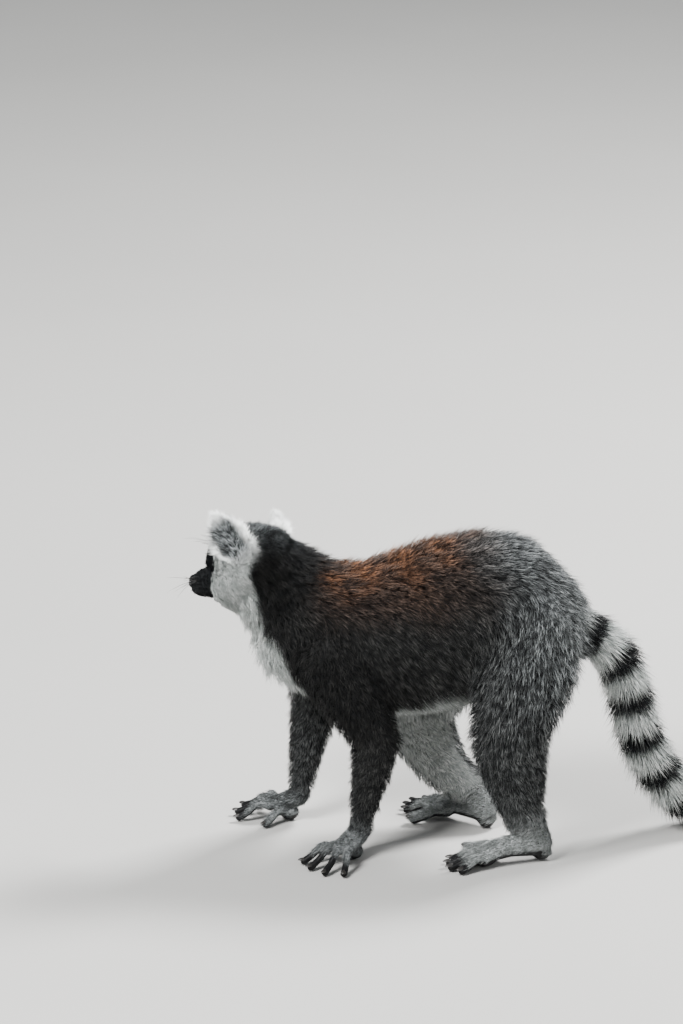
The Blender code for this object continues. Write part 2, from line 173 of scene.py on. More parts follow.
def feed(tree, node, inputs):
    """Gives each of these inputs of a node its value, or the socket that feeds it."""
    for key, value in inputs.items():
        if isinstance(value, bpy.types.NodeSocket):
            tree.links.new(value, node.inputs[key])
        else:
            node.inputs[key].default_value = value


def add(tree, kind, inputs=None, **settings):
    """Adds a node with its settings and inputs, and gives its outputs."""
    node = tree.nodes.new(kind)
    for name, value in settings.items():
        setattr(node, name, value)
    feed(tree, node, inputs or {})
    return node.outputs


def read(owner, name, width, kind="value"):
    """An attribute, or a mesh's points, as a table of numbers."""
    data = owner.attributes[name].data if name in owner.attributes else getattr(owner, name)
    found = np.empty(len(data) * width, np.float32)
    data.foreach_get(kind, found)
    return found.reshape(-1, width).astype(np.float64)


def write(mesh, name, values, kind=None):
    """Stores a number or a vector for each point, or a colour where kind is FLOAT_COLOR."""
    values = np.asarray(values, np.float32)
    kind = kind or ("FLOAT" if values.ndim == 1 else "FLOAT_VECTOR")
    if kind == "FLOAT_COLOR":
        values = np.column_stack([values, np.ones(len(values), np.float32)])
    slot = mesh.attributes.get(name) or mesh.attributes.new(name, kind, "POINT")
    slot.data.foreach_set({"FLOAT": "value", "FLOAT_VECTOR": "vector", "FLOAT_COLOR": "color"}[kind], values.ravel())


def points_of(mesh):
    return read(mesh, "vertices", 3, "co")


def normals_of(mesh):
    return read(mesh, "vertex_normals", 3, "vector")


def move_points(mesh, points):
    mesh.vertices.foreach_set("co", points.astype(np.float32).ravel())
    mesh.update()


def joined(items, count):
    """The points that each of a mesh's edges or triangles joins."""
    found = np.empty(len(items) * count, np.int32)
    items.foreach_get("vertices", found)
    return found.reshape(-1, count)


def relaxed(values, edges, rounds, rate=1.0):
    """Values drawn towards the mean of their neighbours."""
    values = np.array(values, np.float64)
    table = values.reshape(len(values), -1)
    first, second = edges.T
    count = np.maximum(np.bincount(first, minlength=len(table)) + np.bincount(second, minlength=len(table)), 1)
    rate = np.broadcast_to(rate, len(table))
    for _ in range(rounds):
        for column in table.T:
            total = np.bincount(first, column[second], len(table)) + np.bincount(second, column[first], len(table))
            column += rate * (total / count - column)
    return values


def soft(chosen, edges, rounds):
    """1 on the chosen points and 0 off them, with a soft edge."""
    return relaxed(chosen * 1.0, edges, rounds)


def unit(vectors):
    return vectors / np.maximum(np.linalg.norm(vectors, axis=-1, keepdims=True), 1e-9)


def step(low, high, value):
    """0 below low, 1 above high, smooth between. Low may be the greater, which turns it round."""
    t = np.clip((value - low) / (high - low), 0, 1)
    return t * t * (3 - 2 * t)


def mixed(a, b, share):
    """Rows of a turned into rows of b by that share, which is a number or one number for each row."""
    share = np.asarray(share)[..., None] if np.ndim(share) else share
    return a * (1 - share) + b * share


def through(points, steps):
    """A smooth path through points, with that many steps between each pair."""
    rows = [points[0] * 2 - points[1], *points, points[-1] * 2 - points[-2]]
    path = []
    for a, b, c, d in zip(rows, rows[1:], rows[2:], rows[3:]):
        for k in range(steps):
            t = k / steps
            path.append(b + (c - a) * (t / 2) + (a * 2 - b * 5 + c * 4 - d) * (t * t / 2)
                        + (b * 3 - a - c * 3 + d) * (t ** 3 / 2))
    return np.array([*path, points[-1]])


def along_path(points, path):
    """For each point: how far along the path it is, the nearest place on the path, and the path's direction there."""
    steps = np.linalg.norm(np.diff(path, axis=0), axis=1)
    reach = np.concatenate([[0], np.cumsum(steps)])
    heading = unit(np.gradient(path, axis=0))
    nearest = np.empty(len(points), int)
    for start in range(0, len(points), 4000):
        gaps = ((points[start:start + 4000, None] - path[None]) ** 2).sum(2)
        nearest[start:start + 4000] = gaps.argmin(1)
    off = ((points - path[nearest]) * heading[nearest]).sum(1)
    return reach[nearest] + off, path[nearest] + heading[nearest] * off[:, None], heading[nearest]


def in_frame(points, matrix):
    """Points as seen in the frame that the matrix places."""
    inverse = np.array(matrix.inverted())
    return points @ inverse[:3, :3].T + inverse[:3, 3]


def turned(vectors, matrix):
    return np.asarray(vectors) @ np.array(matrix)[:3, :3].T


def shape_of(mesh):
    """A mesh opened for work on its shape."""
    bm = bmesh.new()
    bm.from_mesh(mesh)
    return bm


def finished(bm, name):
    """A mesh of the shape, which is then let go."""
    mesh = bpy.data.meshes.new(name)
    bm.to_mesh(mesh)
    bm.free()
    return mesh


def placed(name, data):
    """An object in the scene, at the origin."""
    obj = bpy.data.objects.new(name, data)
    bpy.context.scene.collection.objects.link(obj)
    return obj


def new_piece(name, mesh, material):
    """An object that rides on the animal's one body."""
    mesh.materials.clear()
    mesh.materials.append(material)
    piece = placed(name, mesh)
    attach(piece, BODY)
    return piece


def applied(obj, name):
    """A plain mesh of the object as its modifiers leave it. The object goes."""
    graph = bpy.context.evaluated_depsgraph_get()
    mesh = bpy.data.meshes.new_from_object(obj.evaluated_get(graph), depsgraph=graph)
    mesh.name = name
    old = obj.data
    bpy.data.objects.remove(obj)
    bpy.data.meshes.remove(old)
    return mesh


def ear_frame(side):
    """At the ear's root, +Z to its tip and +Y out of its opening."""
    root, tip = Vector((0.016, side * 0.027, 0.004)), Vector((-0.004, side * 0.044, 0.050))
    up = (tip - root).normalized()
    opening = Vector((0.25, side * 0.95, -0.05))
    opening = (opening - up * opening.dot(up)).normalized()
    upright = Matrix((opening.cross(up), opening, up)).transposed().to_4x4()
    upright.translation = root
    return HEAD @ upright


def meeting(a, b):
    """The middle of the faces where two neighbouring solids meet."""
    first, second = (points_of(frame["nodes"][name].data) for name in (a, b))
    gap = np.sqrt(((first[:, None] - second[None]) ** 2).sum(2)).min(1)
    return first[gap < max(0.003, gap.min() * 1.5)].mean(0)


def tail_path():
    """The middle line of the tail, from the rump to its tip."""
    line = [meeting("tail_1", "trunk")]
    for here, after in zip(TAIL, TAIL[1:]):
        line += [points_of(frame["nodes"][here].data).mean(0), meeting(here, after)]
    last = points_of(frame["nodes"][TAIL[-1]].data)
    line += [last.mean(0), last[((last - line[-1]) ** 2).sum(1).argmax()]]
    return through([np.array(place) for place in line], 10)


# ---------------------------------------------------------------- the skin's shape
# For each kind of solid: depth of the coat over the skin, length of its hairs, half the width of a tuft,
# tufts against the mean, and how strongly the surface is smoothed. Sizes in millimetres.
COAT = {
    "trunk": (8.5, 20.0, 0.34, 1.0, 1.0),
    "neck": (8.5, 17.0, 0.27, 2.0, 1.0),
    "head": (5.0, 8.5, 0.24, 2.6, 0.35),
    "ear": (0.5, 8.0, 0.20, 2.6, 0.06),
    "upper_arm": (6.0, 13.0, 0.30, 1.2, 0.8),
    "forearm": (3.6, 9.0, 0.26, 1.5, 0.5),
    "hand": (0.9, 5.0, 0.18, 1.6, 0.16),
    "thigh": (8.0, 17.0, 0.34, 1.1, 1.0),
    "shank": (4.0, 10.0, 0.28, 1.4, 0.5),
    "foot": (1.0, 6.0, 0.19, 1.6, 0.16),
    "tail": (16.0, 26.0, 0.38, 1.5, 0.8),
}


def kind_of(node):
    """A solid's name without its side or number."""
    return "tail" if node in TAIL else node.removesuffix("_left").removesuffix("_right")


KINDS = np.array([kind_of(name) for name in FLESH])
COATS = np.array([COAT[kind] for kind in KINDS])

# For hand and foot: how far ahead of the joint the digits start, their height there, radius and arch; each
# digit's place sideways, its turn in degrees and its length; and the thumb's or first toe's place ahead,
# inwards and up, with its turn, length, radius and arch.
DIGITS = {
    "hand": ((0.026, 0.0140, 0.0042, 0.0040),
             ((0.0105, 30, 0.031), (0.0040, 10, 0.036), (-0.0035, -9, 0.038), (-0.0105, -28, 0.032)),
             (0.012, 0.010, 0.011, 68, 0.024, 0.0044, 0.0015)),
    "foot": ((0.046, 0.0090, 0.0046, 0.0030),
             ((0.0090, 14, 0.028), (0.0030, 4, 0.033), (-0.0035, -6, 0.035), (-0.0100, -17, 0.029)),
             (0.026, 0.011, 0.0115, 46, 0.034, 0.0060, 0.0010)),
}


def digits(kind, side_name, side):
    """The path, heading and radius of each digit of a hand or foot, from its base to its tip on the floor."""
    joint, heading = PAWS[kind, side_name]
    along = Vector((math.cos(heading), math.sin(heading), 0))
    inward = Vector((-along.y, along.x, 0))
    turn = 1.0 if inward.y * side < 0 else -1.0
    inward *= turn
    under = Vector((joint.x, joint.y, 0))
    (start, height, radius, arch), rows, (ahead, across, up, *thumb) = DIGITS[kind]
    base = under + along * start + Vector((0, 0, height))
    found = [(base + inward * offset, degrees, length, radius, arch) for offset, degrees, length in rows]
    found += [(under + along * ahead + inward * across + Vector((0, 0, up)), *thumb)]
    for start, degrees, length, size, rise in found:
        way = heading + turn * math.radians(degrees)
        ahead = Vector((math.cos(way), math.sin(way), 0))
        knee = start + ahead * length * 0.36 + Vector((0, 0, rise))
        low, end = start + ahead * length * 0.72, start + ahead * length
        low.z, end.z = knee.z * 0.36 + size * 0.67, size
        yield np.array([start, knee, low, end]), ahead, size


def nearest_nodes(points):
    """The index in FLESH of the solid that each point lies on."""
    corners, faces, owner = [], [], []
    for index, name in enumerate(FLESH):
        mesh = frame["nodes"][name].data
        first = len(corners)
        corners += [v.co.copy() for v in mesh.vertices]
        faces += [[first + v for v in face.vertices] for face in mesh.polygons]
        owner += [index] * len(mesh.polygons)
    tree = BVHTree.FromPolygons(corners, faces)
    return np.array([owner[tree.find_nearest(Vector(p))[2]] for p in points])


def grown_together(voxel):
    """The solids as one closed skin, with smaller faces over the face."""
    bm = bmesh.new()
    for name in frame["nodes"]:
        bm.from_mesh(frame["nodes"][name].data)
    bmesh.ops.remove_doubles(bm, verts=bm.verts, dist=1e-6)
    for kind, name in PAWS:
        for path, _, radius in digits(kind, name, dict(SIDES)[name]):
            for k, spot in enumerate(through(path, 8)):      # beads along the digit, slimmer at its middle
                size = radius * (1.10 - 0.06 * math.sin(math.pi * k / 24))
                bmesh.ops.create_icosphere(bm, subdivisions=2, radius=size, matrix=Matrix.Translation(Vector(spot)))
    flesh = placed("flesh", finished(bm, "flesh"))
    remesh = flesh.modifiers.new("grow", "REMESH")
    remesh.mode, remesh.voxel_size = "VOXEL", voxel
    mesh = applied(flesh, "skin")
    bm = shape_of(mesh)
    to_head = HEAD.inverted()
    seen = ((face, to_head @ face.calc_center_median()) for face in bm.faces)
    near = [face for face, at in seen
            if at.x < FACE_START and at.length < 0.10 and abs(at.y) < 0.036 and at.z > -0.040]
    edges = list({edge for face in near for edge in face.edges})
    bmesh.ops.subdivide_edges(bm, edges=edges, cuts=1, use_grid_fill=True)
    bmesh.ops.triangulate(bm, faces=bm.faces)
    bm.to_mesh(mesh)
    bm.free()
    return mesh


def head_depth(seen):
    """Depth of the coat on the head, in millimetres, from muzzle to nape."""
    return 0.4 + 0.8 * step(-0.052, -0.032, seen[:, 0]) + 4.0 * step(-0.026, -0.004, seen[:, 0])


def held_at_depth(mesh, points, edges, outline, depth, rate):
    """Points moved out or in, so that the skin lies at the coat's depth under the outline that it came from."""
    move_points(mesh, points)
    off = np.empty(len(points))
    for k, point in enumerate(points):
        place, facing, _, gap = outline.find_nearest(Vector(point))
        off[k] = gap if (place - Vector(point)).dot(facing) > 0 else -gap
    return points + normals_of(mesh) * (relaxed(off - depth, edges, 5) * rate)[:, None]


# Against the solid eye's radius: the lids, the skin behind the open eye, how far out the skin gives way, the
# eyeball, and the middle of the lids' rims
LID_SIZE, SOCKET_SIZE, LID_REACH, BALL_SIZE, RIM_SIZE = 1.09, 0.86, 3.2, 0.985, 1.035
IRIS_ANGLE = math.radians(64)       # from the gaze to where the painted rings of the eye end


def with_eye_openings(points, opening):
    """Skin drawn over each eyeball into lids, and behind it where the eye is open."""
    for _, side in SIDES:
        middle, gaze, across, above = eye_axes(side)
        out = points - middle
        far = np.linalg.norm(out, axis=1)
        out = unit(out)
        forward = out @ gaze
        angle = np.arccos(np.clip(forward, -1, 1))
        round_eye = np.arctan2(out @ above, out @ across)
        edge = lid_angle(round_eye, opening)
        nearby = (far < EYE_RADIUS * LID_REACH) & (angle < math.radians(115))
        lid = EYE_RADIUS * LID_SIZE
        blend = step(edge + math.radians(9), edge + math.radians(48), angle)
        wanted = lid * (1 - blend) + np.maximum(far, lid) * blend
        wanted = np.where(angle < edge, EYE_RADIUS * SOCKET_SIZE, wanted)
        points = np.where(nearby[:, None], middle + out * wanted[:, None], points)
    return points


def eye_axes(side):
    """The eye's middle, and unit vectors along the gaze, outwards across the eye and up."""
    middle = np.array(HEAD @ Vector((EYE_PLACE.x, side * EYE_PLACE.y, EYE_PLACE.z)))
    gaze = unit(np.array((-1.0, side * 0.44, 0.06)))
    across = unit(np.cross(UP, gaze)) * -side
    above = np.cross(across, gaze) * side
    above = above if above[2] > 0 else -above
    return middle, *(turned(way, HEAD_TURN) for way in (gaze, across, above))


def lid_angle(round_eye, opening):
    """The lids' opening at each place round the eye: wider across than up, drawn out at the inner corner."""
    inner = np.clip(-np.cos(round_eye), 0, 1) ** 6
    return opening * (1 - 0.14 * np.sin(round_eye) ** 2 + 0.10 * inner)


def with_muzzle(points, normals):
    """Nostrils, the groove between them and the line of the mouth."""
    seen = in_frame(points, HEAD)
    (along, aside, up), push = seen.T, np.zeros(len(points))
    for _, side in SIDES:
        gap = np.linalg.norm((seen - np.array(NOSTRIL) * (1, side, 1)) / (2.2, 0.9, 0.70), axis=1)
        push += 0.0030 * np.exp(-(gap / 0.0017) ** 2)
    front = step(-0.070, -0.076, along)
    push += 0.0007 * front * np.exp(-(aside / 0.0007) ** 2) * step(-0.012, -0.015, up)
    mouth = -0.0210 - 0.0030 * step(-0.072, -0.050, along) + 0.004 * step(-0.046, -0.034, along)
    there = step(-0.034, -0.040, along)
    push += 0.0009 * there * np.exp(-((up - mouth) / 0.0009) ** 2)
    return points - normals * push[:, None]


def with_pointed_ears(points, owner):
    """Each ear narrowed towards its tip, so that its fringe ends in a point."""
    for name, side in SIDES:
        within = in_frame(points, ear_frame(side))
        share = 0.42 * step(0.016, 0.050, within[:, 2]) * (owner == FLESH.index("ear_" + name))
        points = points + turned(np.outer(-within[:, 0] * share, (1, 0, 0)), ear_frame(side))
    return points


INSET_ROUNDS = 6         # the skin is drawn in by this many steps, and eased after each
BARE_TAIL_END = 0.012    # the last of the tail, which is drawn in further, so that its hair ends in a point
SOLE_GAP = 0.0002        # the lowest that the skin comes to the floor


def skin_mesh(sizes):
    """The solids grown together, smoothed, drawn in by the coat's depth, with lids, nostrils and mouth."""
    mesh = grown_together(sizes.voxel)
    outer = shape_of(mesh)
    outline = BVHTree.FromBMesh(outer)
    outer.free()
    points, edges = points_of(mesh), joined(mesh.edges, 2)
    owner = nearest_nodes(points)
    table, kinds, seen = COATS[owner], KINDS[owner], in_frame(points, HEAD)
    head = kinds == "head"
    table[head, 0] = head_depth(seen[head])
    ease = relaxed(table[:, 4], edges, 12)
    face = step(-0.010, -0.028, seen[:, 0]) * head
    ease = np.minimum(ease, 1 - 0.8 * relaxed(face, edges, 8))
    depth = relaxed(table[:, 0], edges, 30) / 1000
    tail = soft(kinds == "tail", edges, 20)
    for _ in range(3):
        points = relaxed(points, edges, 9, ease * 0.9)
        # What smoothing took from the size is given back: a step away from the neighbours' mean.
        points -= (relaxed(points, edges, 1, 1.0) - points) * (ease * 0.15)[:, None]
    path = tail_path()
    for _ in range(INSET_ROUNDS):
        move_points(mesh, points)
        points = points - normals_of(mesh) * (depth * (1 - tail) / INSET_ROUNDS)[:, None]
        points = relaxed(points, edges, 2, ease * 0.35)
    for _ in range(2):
        points = held_at_depth(mesh, points, edges, outline, depth, 1 - tail)
        points = relaxed(points, edges, 2, ease * 0.5)
    reach, middle, _ = along_path(points, path)
    total = np.linalg.norm(np.diff(path, axis=0), axis=1).sum()
    out = points - middle
    core = sizes.tail_core * (1 - 0.45 * step(0.75, 1.0, reach / total))
    share = np.minimum(1, core / np.maximum(np.linalg.norm(out, axis=1), 1e-6))
    share = np.where(reach > total - BARE_TAIL_END, np.minimum(share, 0.45), share)
    points = mixed(points, middle + out * share[:, None], step(0.25, 0.95, tail))
    points = relaxed(points, edges, 6, 0.5 * step(0.02, 0.5, tail))
    points = with_pointed_ears(points, owner)
    points = with_eye_openings(points, sizes.eye_opening)
    move_points(mesh, points)
    points = with_muzzle(points, normals_of(mesh))
    points[:, 2] = np.maximum(points[:, 2], SOLE_GAP)
    move_points(mesh, points)
    return mesh


def thinned(mesh, triangles):
    """The skin with about that many triangles."""
    obj = placed("skin", mesh)
    thin = obj.modifiers.new("thin", "DECIMATE")
    thin.ratio = min(1.0, triangles / len(mesh.polygons))
    return applied(obj, "skin")


# ---------------------------------------------------------------- the coat's lie and markings
def hair_lie(points, normals, owner):
    """The way that the hair runs, along the skin, as unit vectors."""
    seen = in_frame(points, HEAD)
    steep = 1 - np.abs(normals[:, 2])
    lie = np.zeros_like(points)
    path = tail_path()
    for index, name in enumerate(FLESH):
        here, kind, side = owner == index, KINDS[index], name.rsplit("_", 1)[-1]
        if kind == "trunk":
            lie[here] = (1.0, 0.0, -0.12)
            lie[here, 2] -= 0.45 * steep[here]
        elif kind == "neck":
            lie[here] = (0.72, 0.0, -0.62)
        elif kind == "head":
            from_nose = seen[here] - (-0.084, 0.0, -0.010)
            from_nose[:, 2] -= 0.045 * step(0.004, -0.020, seen[here, 2]) * step(-0.040, -0.015, seen[here, 0])
            from_nose[:, 2] -= 0.075 * step(0.005, 0.040, seen[here, 0])
            lie[here] = turned(unit(from_nose), HEAD_TURN)
        elif kind == "ear":
            sign = dict(SIDES)[side]
            within = in_frame(points[here], ear_frame(sign))
            fan = np.outer(within[:, 0] * 1.6, (1, 0, 0)) + (0, 0.003, 0.018)
            lie[here] = turned(fan, ear_frame(sign))
        elif kind in ("upper_arm", "thigh"):
            below = {"upper_arm": "forearm_", "thigh": "shank_"}[kind] + side
            lie[here] = np.array(centre(below) - centre(name))
        elif kind in ("forearm", "shank"):
            below = {"forearm": "hand", "shank": "foot"}[kind]
            lie[here] = np.array(PAWS[below, side][0] - centre(name))
        elif kind in ("hand", "foot"):
            heading = PAWS[kind, side][1]
            lie[here] = (math.cos(heading), math.sin(heading), -0.15)
        else:
            lie[here] = along_path(points[here], path)[2]
    return unit(lie)


def pair(colours, root, tip):
    """A root colour and a tip colour in one row."""
    return np.array([*getattr(colours, root), *getattr(colours, tip)])


# The tail: the length of a pair of rings, the share of a pair before the first white ring, and the black tip
RING_PAIR, FIRST_RING, BLACK_TIP = 0.0425, 0.27, 0.018


def markings(points, normals, owner, edges, colours):
    """Root and tip colours of the hair over the whole skin, six numbers for each point."""
    p, seen = points - np.array(CHEST), in_frame(points, HEAD)
    (x, y, z), (along, aside, up) = p.T, seen.T
    kinds = KINDS[owner]
    facing = unit(relaxed(normals, edges, 12))
    white, black = pair(colours, "cream", "white"), pair(colours, "black", "slate")
    dark, grizzled = pair(colours, "charcoal", "grizzle"), pair(colours, "charcoal", "frost")
    back = pair(colours, "umber", "rust")
    by_kind = {
        "trunk": mixed(dark, grizzled, 0.08), "neck": mixed(black, dark, 0.45), "head": white, "ear": white,
        "upper_arm": mixed(black, dark, 0.55), "forearm": mixed(dark, grizzled, 0.08),
        "hand": mixed(grizzled, white, 0.10), "thigh": mixed(dark, grizzled, 0.24),
        "shank": mixed(dark, grizzled, 0.30), "foot": mixed(grizzled, white, 0.40), "tail": black,
    }
    tint = relaxed(np.array([by_kind[kind] for kind in KINDS])[owner], edges, 25)

    def part(*names, rounds=15):
        return soft(np.isin(kinds, names), edges, rounds)

    def wave(a, b, c, size):
        """Uneven edges: a mark is never a ruled line."""
        return (np.sin(p @ np.array((a, b, c))) + 0.6 * np.sin(p @ np.array((-c, a, b)) * 1.7 + 1)) * size

    uneven = wave(90, 40, 60, 0.004)
    # The back is rust from the shoulders to the loins, brown below it, and the rump is frosted.
    body = part("trunk", "thigh", "upper_arm", "neck", rounds=20)
    span = step(-0.125, -0.085, x + uneven) * step(0.105, 0.060, x + uneven)
    span *= step(0.225, 0.262, z)
    bright = 0.10 + 0.90 * step(0.062, 0.005, x + uneven)
    mottle = np.clip(0.55 + wave(150, 95, 40, 0.45), 0.10, 1)
    upward = facing[:, 2] + uneven * 20
    tint = mixed(tint, mixed(dark, back, 0.5), step(-0.2, 0.5, upward) * span * body * (0.15 + 0.30 * bright))
    tint = mixed(tint, back, step(0.50, 0.88, upward) * span * body * mottle * bright)
    # Where the coat faces up, the frost starts further forward: painted light on the top of the rump.
    rump = step(0.062, 0.132, x + uneven + 0.030 * step(0.3, 0.9, facing[:, 2])) * step(0.12, 0.20, z)
    tint = mixed(tint, mixed(dark, grizzled, 0.72), rump * body)
    loins = step(0.115, 0.165, x + uneven) * step(0.18, 0.23, z)
    tint = mixed(tint, mixed(grizzled, white, 0.15), loins * body * 0.6)
    # The throat, the front of the chest and the underside are white, and so are the inner sides of the hind legs.
    under = part("trunk", "neck", rounds=15)
    tint = mixed(tint, white, step(-0.62, -0.90, facing[:, 2] + uneven * 12) * under * step(-0.10, -0.07, x))
    inner = step(0.25, 0.75, -facing[:, 1] * np.sign(y))
    tint = mixed(tint, white, inner * part("thigh", "shank", rounds=8) * 0.7)
    tint = mixed(tint, mixed(dark, grizzled, 0.35), inner * part("upper_arm", "forearm", rounds=8) * 0.6)
    # Face, cheeks, throat and chest are white, up to a line that runs from behind the ears down each side of the neck.
    levels = (-0.080, -0.068, -0.052, -0.035, -0.019, 0.002, 0.012, 0.020, 0.030)
    edge = np.interp(up, levels, (0.030, 0.0254, 0.0171, 0.0167, 0.0189, 0.0290, 0.022, 0.004, -0.018))
    above = along - edge
    heights = (0.112, 0.128, 0.140, 0.158, 0.181, 0.208, 0.228, 0.2415, 0.260)
    breast = np.interp(z, heights, (-0.068, -0.078, -0.088, -0.101, -0.116, -0.130, -0.1435, -0.154, -0.160))
    below = x - breast + 0.25 * np.maximum(np.abs(y) - 0.036, 0)
    across = below + (above - below) * step(0.225, 0.250, z)
    cap = step(-0.0022, 0.0022, across + uneven * 0.25)
    fore = part("head", "neck", "trunk", rounds=6) + soft(owner == FLESH.index("upper_arm_left"), edges, 6)
    fore = np.minimum(fore, 1) * step(-0.062, -0.076, x) * step(0.112, 0.128, z)
    tint = mixed(tint, white, (1 - cap) * fore)
    head = part("head", "neck", rounds=6) * step(0.235, 0.265, z)
    crown = step(0.004, 0.020, up)
    tint = mixed(tint, mixed(mixed(black, dark, 0.5), mixed(black, grizzled, 0.28), crown), cap * head)
    # Black round each eye, on the sides of the face and over the muzzle, with a white wedge between the eyes.
    head = part("head", rounds=1)
    for _, side in SIDES:
        eye = (EYE_PLACE.x - 0.001, side * (EYE_PLACE.y + 0.0010), EYE_PLACE.z - 0.0005)
        gap = np.linalg.norm((seen - eye) / (1.10, 0.95, 1.05), axis=1)
        tint = mixed(tint, black, step(0.0165, 0.0135, gap + uneven * 0.15) * head)
    rounded = -0.0210 - 0.012 * step(-0.012, -0.036, up) - 0.010 * step(0.002, 0.016, up)
    flank = step(0.0015, -0.0015, along - rounded + uneven * 0.2) * step(0.007, 0.012, np.abs(aside))
    tint = mixed(tint, black, flank * step(0.014, 0.008, up) * head)
    muzzle = step(-0.033, -0.045, along + uneven * 0.1)
    tint = mixed(tint, mixed(black, dark, 0.10), muzzle * step(0.008, -0.001, up) * head)
    # Ears: white to the root, with dark and pale hair in the cup; the black roots there are partly painted shade.
    for name, side in SIDES:
        ear = soft(owner == FLESH.index("ear_" + name), edges, 3)
        within = in_frame(points, ear_frame(side))
        toward = step(0.1, 0.6, normals @ turned((0, 1, 0), ear_frame(side)))
        tint = mixed(tint, pair(colours, "white", "white"), ear * 0.8)
        cup_hair_and_shade = toward * step(0.0165, 0.0095, np.abs(within[:, 0] - 0.001)) * step(0.045, 0.032, within[:, 2])
        tint = mixed(tint, pair(colours, "black", "frost"), cup_hair_and_shade * ear)
    # Tail: thirteen pairs of rings and a black tip.
    reach = along_path(points, tail_path())[0]
    ring = step(-0.12, 0.12, np.sin((reach / RING_PAIR - FIRST_RING) * 2 * math.pi) + 0.05)
    ring *= step(-BLACK_TIP, -BLACK_TIP - 0.006, reach - reach.max())
    return mixed(tint, mixed(black, white, ring), part("tail", rounds=4))


COAT_PIECES = {   # each piece of the coat, with a slot that the script does not use
    "face_coat": "head", "crown_coat": "head", "paw_coat": "foot", "neck_coat": "neck", "back_coat": "trunk",
    "belly_coat": "trunk", "arm_coat_left": "upper_arm", "arm_coat_right": "upper_arm", "leg_coat_left": "thigh",
    "leg_coat_right": "thigh", "tail_coat_fore": "tail", "tail_coat_aft": "tail",
}
SHORT_COATED = ("face_coat", "crown_coat", "paw_coat")
# A short tuft is a straight spike, thick for its length, and a long one bends. Locks draw tufts together.
SHORT_TUFT = {"Segments": 1, "Thickness": 1.5, "Lock_size": 0.004, "Lock_pull": 0.42}
LONG_TUFT = {"Segments": 2, "Thickness": 1.0, "Lock_size": 0.008, "Lock_pull": 0.5}


def pieces_of(kinds, high, fore, left):
    """The piece of the coat that each point belongs to, by its place in COAT_PIECES."""
    head, paw, arm, leg = (np.isin(kinds, these) for these in (
        ("head", "ear"), ("hand", "foot"), ("upper_arm", "forearm"), ("thigh", "shank")))
    neck, trunk = kinds == "neck", kinds == "trunk"
    rows = [head & fore, head, paw, neck, trunk & high, trunk, arm & left, arm, leg & left, leg, high]
    return np.select(rows, range(len(rows)), len(rows))


def comb(mesh, owner, colours):
    """Writes on the skin what the coat needs: the hair's reach, girth, thickness, colours and piece."""
    points, normals, edges = points_of(mesh), normals_of(mesh), joined(mesh.edges, 2)
    kinds = KINDS[owner]
    table, seen, head = COATS[owner], in_frame(points, HEAD), kinds == "head"
    along, aside, up = seen.T
    table[head, 0] = head_depth(seen[head])
    low = step(0.012, -0.004, up)
    length = (1.3 + 2.2 * step(-0.062, -0.030, along) + 6.0 * step(-0.027, -0.008, along)
              + 3.5 * low * step(-0.022, -0.010, along))
    girth = 0.15 + 0.07 * step(-0.050, -0.030, along) + 0.08 * step(-0.030, 0.0, along)
    table[head, 1], table[head, 2] = length[head], girth[head]
    # Long hair stands out along the ears' rims.
    fringe = np.zeros(len(points))
    for name, side in SIDES:
        within = in_frame(points, ear_frame(side))
        rim = step(0.012, 0.019, np.abs(within[:, 0]) + 0.45 * np.maximum(within[:, 2] - 0.02, 0))
        ear = owner == FLESH.index("ear_" + name)
        peak = rim * step(0.026, 0.046, within[:, 2])
        table[ear, 1] += (2.5 * rim + 6.5 * peak)[ear]
        fringe = np.maximum(fringe, (0.5 * rim + 0.5 * peak) * ear)
    table[:, 1] -= 4.0 * step(-0.2, -0.8, normals[:, 2]) * (kinds == "trunk")      # shorter under the belly
    table = relaxed(table, edges, 10)
    depth, length, girth = table[:, :3].T / 1000
    lie = relaxed(hair_lie(points, normals, owner), edges, 14)
    lie = unit(lie - normals * (lie * normals).sum(1)[:, None])
    lift = np.maximum(np.clip(1.5 * depth / length, 0.08, 0.80), 0.70 * relaxed(fringe, edges, 2))
    root_lift, tip_lift = np.clip(1.45 * lift, 0, 0.95), 0.45 * lift
    for name, sine, droop in (("reach_root", root_lift, 0.0), ("reach_tip", tip_lift, 0.22)):
        way = lie * np.sqrt(1 - sine ** 2)[:, None] + normals * sine[:, None]
        way[:, 2] -= droop * np.clip(length / 0.020, 0, 1)
        write(mesh, name, unit(way) * length[:, None])
    write(mesh, "girth", girth)
    tint = np.clip(markings(points, normals, owner, edges, colours), 0, 1)
    write(mesh, "root_tint", tint[:, :3], "FLOAT_COLOR")
    write(mesh, "tip_tint", tint[:, 3:], "FLOAT_COLOR")
    write(mesh, "lie", lie)
    paws = soft(np.isin(kinds, ("hand", "foot")), edges, 4) * bare_share(points, normals, kinds)
    nose = step(-0.0725, -0.0755, along) * step(-0.0215, -0.0195, up) * head
    bare = np.clip(paws + nose * step(0.0085, 0.007, np.abs(aside)), 0, 1)
    write(mesh, "bare", bare)
    write(mesh, "thick", table[:, 3] * (1 - bare))
    on_tail = kinds == "tail"
    half_way = np.zeros(len(points), bool)
    reach = along_path(points[on_tail], tail_path())[0]
    half_way[on_tail] = reach < reach.max() * 0.5
    high = np.where(on_tail, half_way, normals[:, 2] > 0.15)
    write(mesh, "piece", pieces_of(kinds, high, along < FACE_START, points[:, 1] < 0))


BARE_FROM = {"hand": 0.036, "foot": 0.056}       # how far ahead of the joint the bare digits start


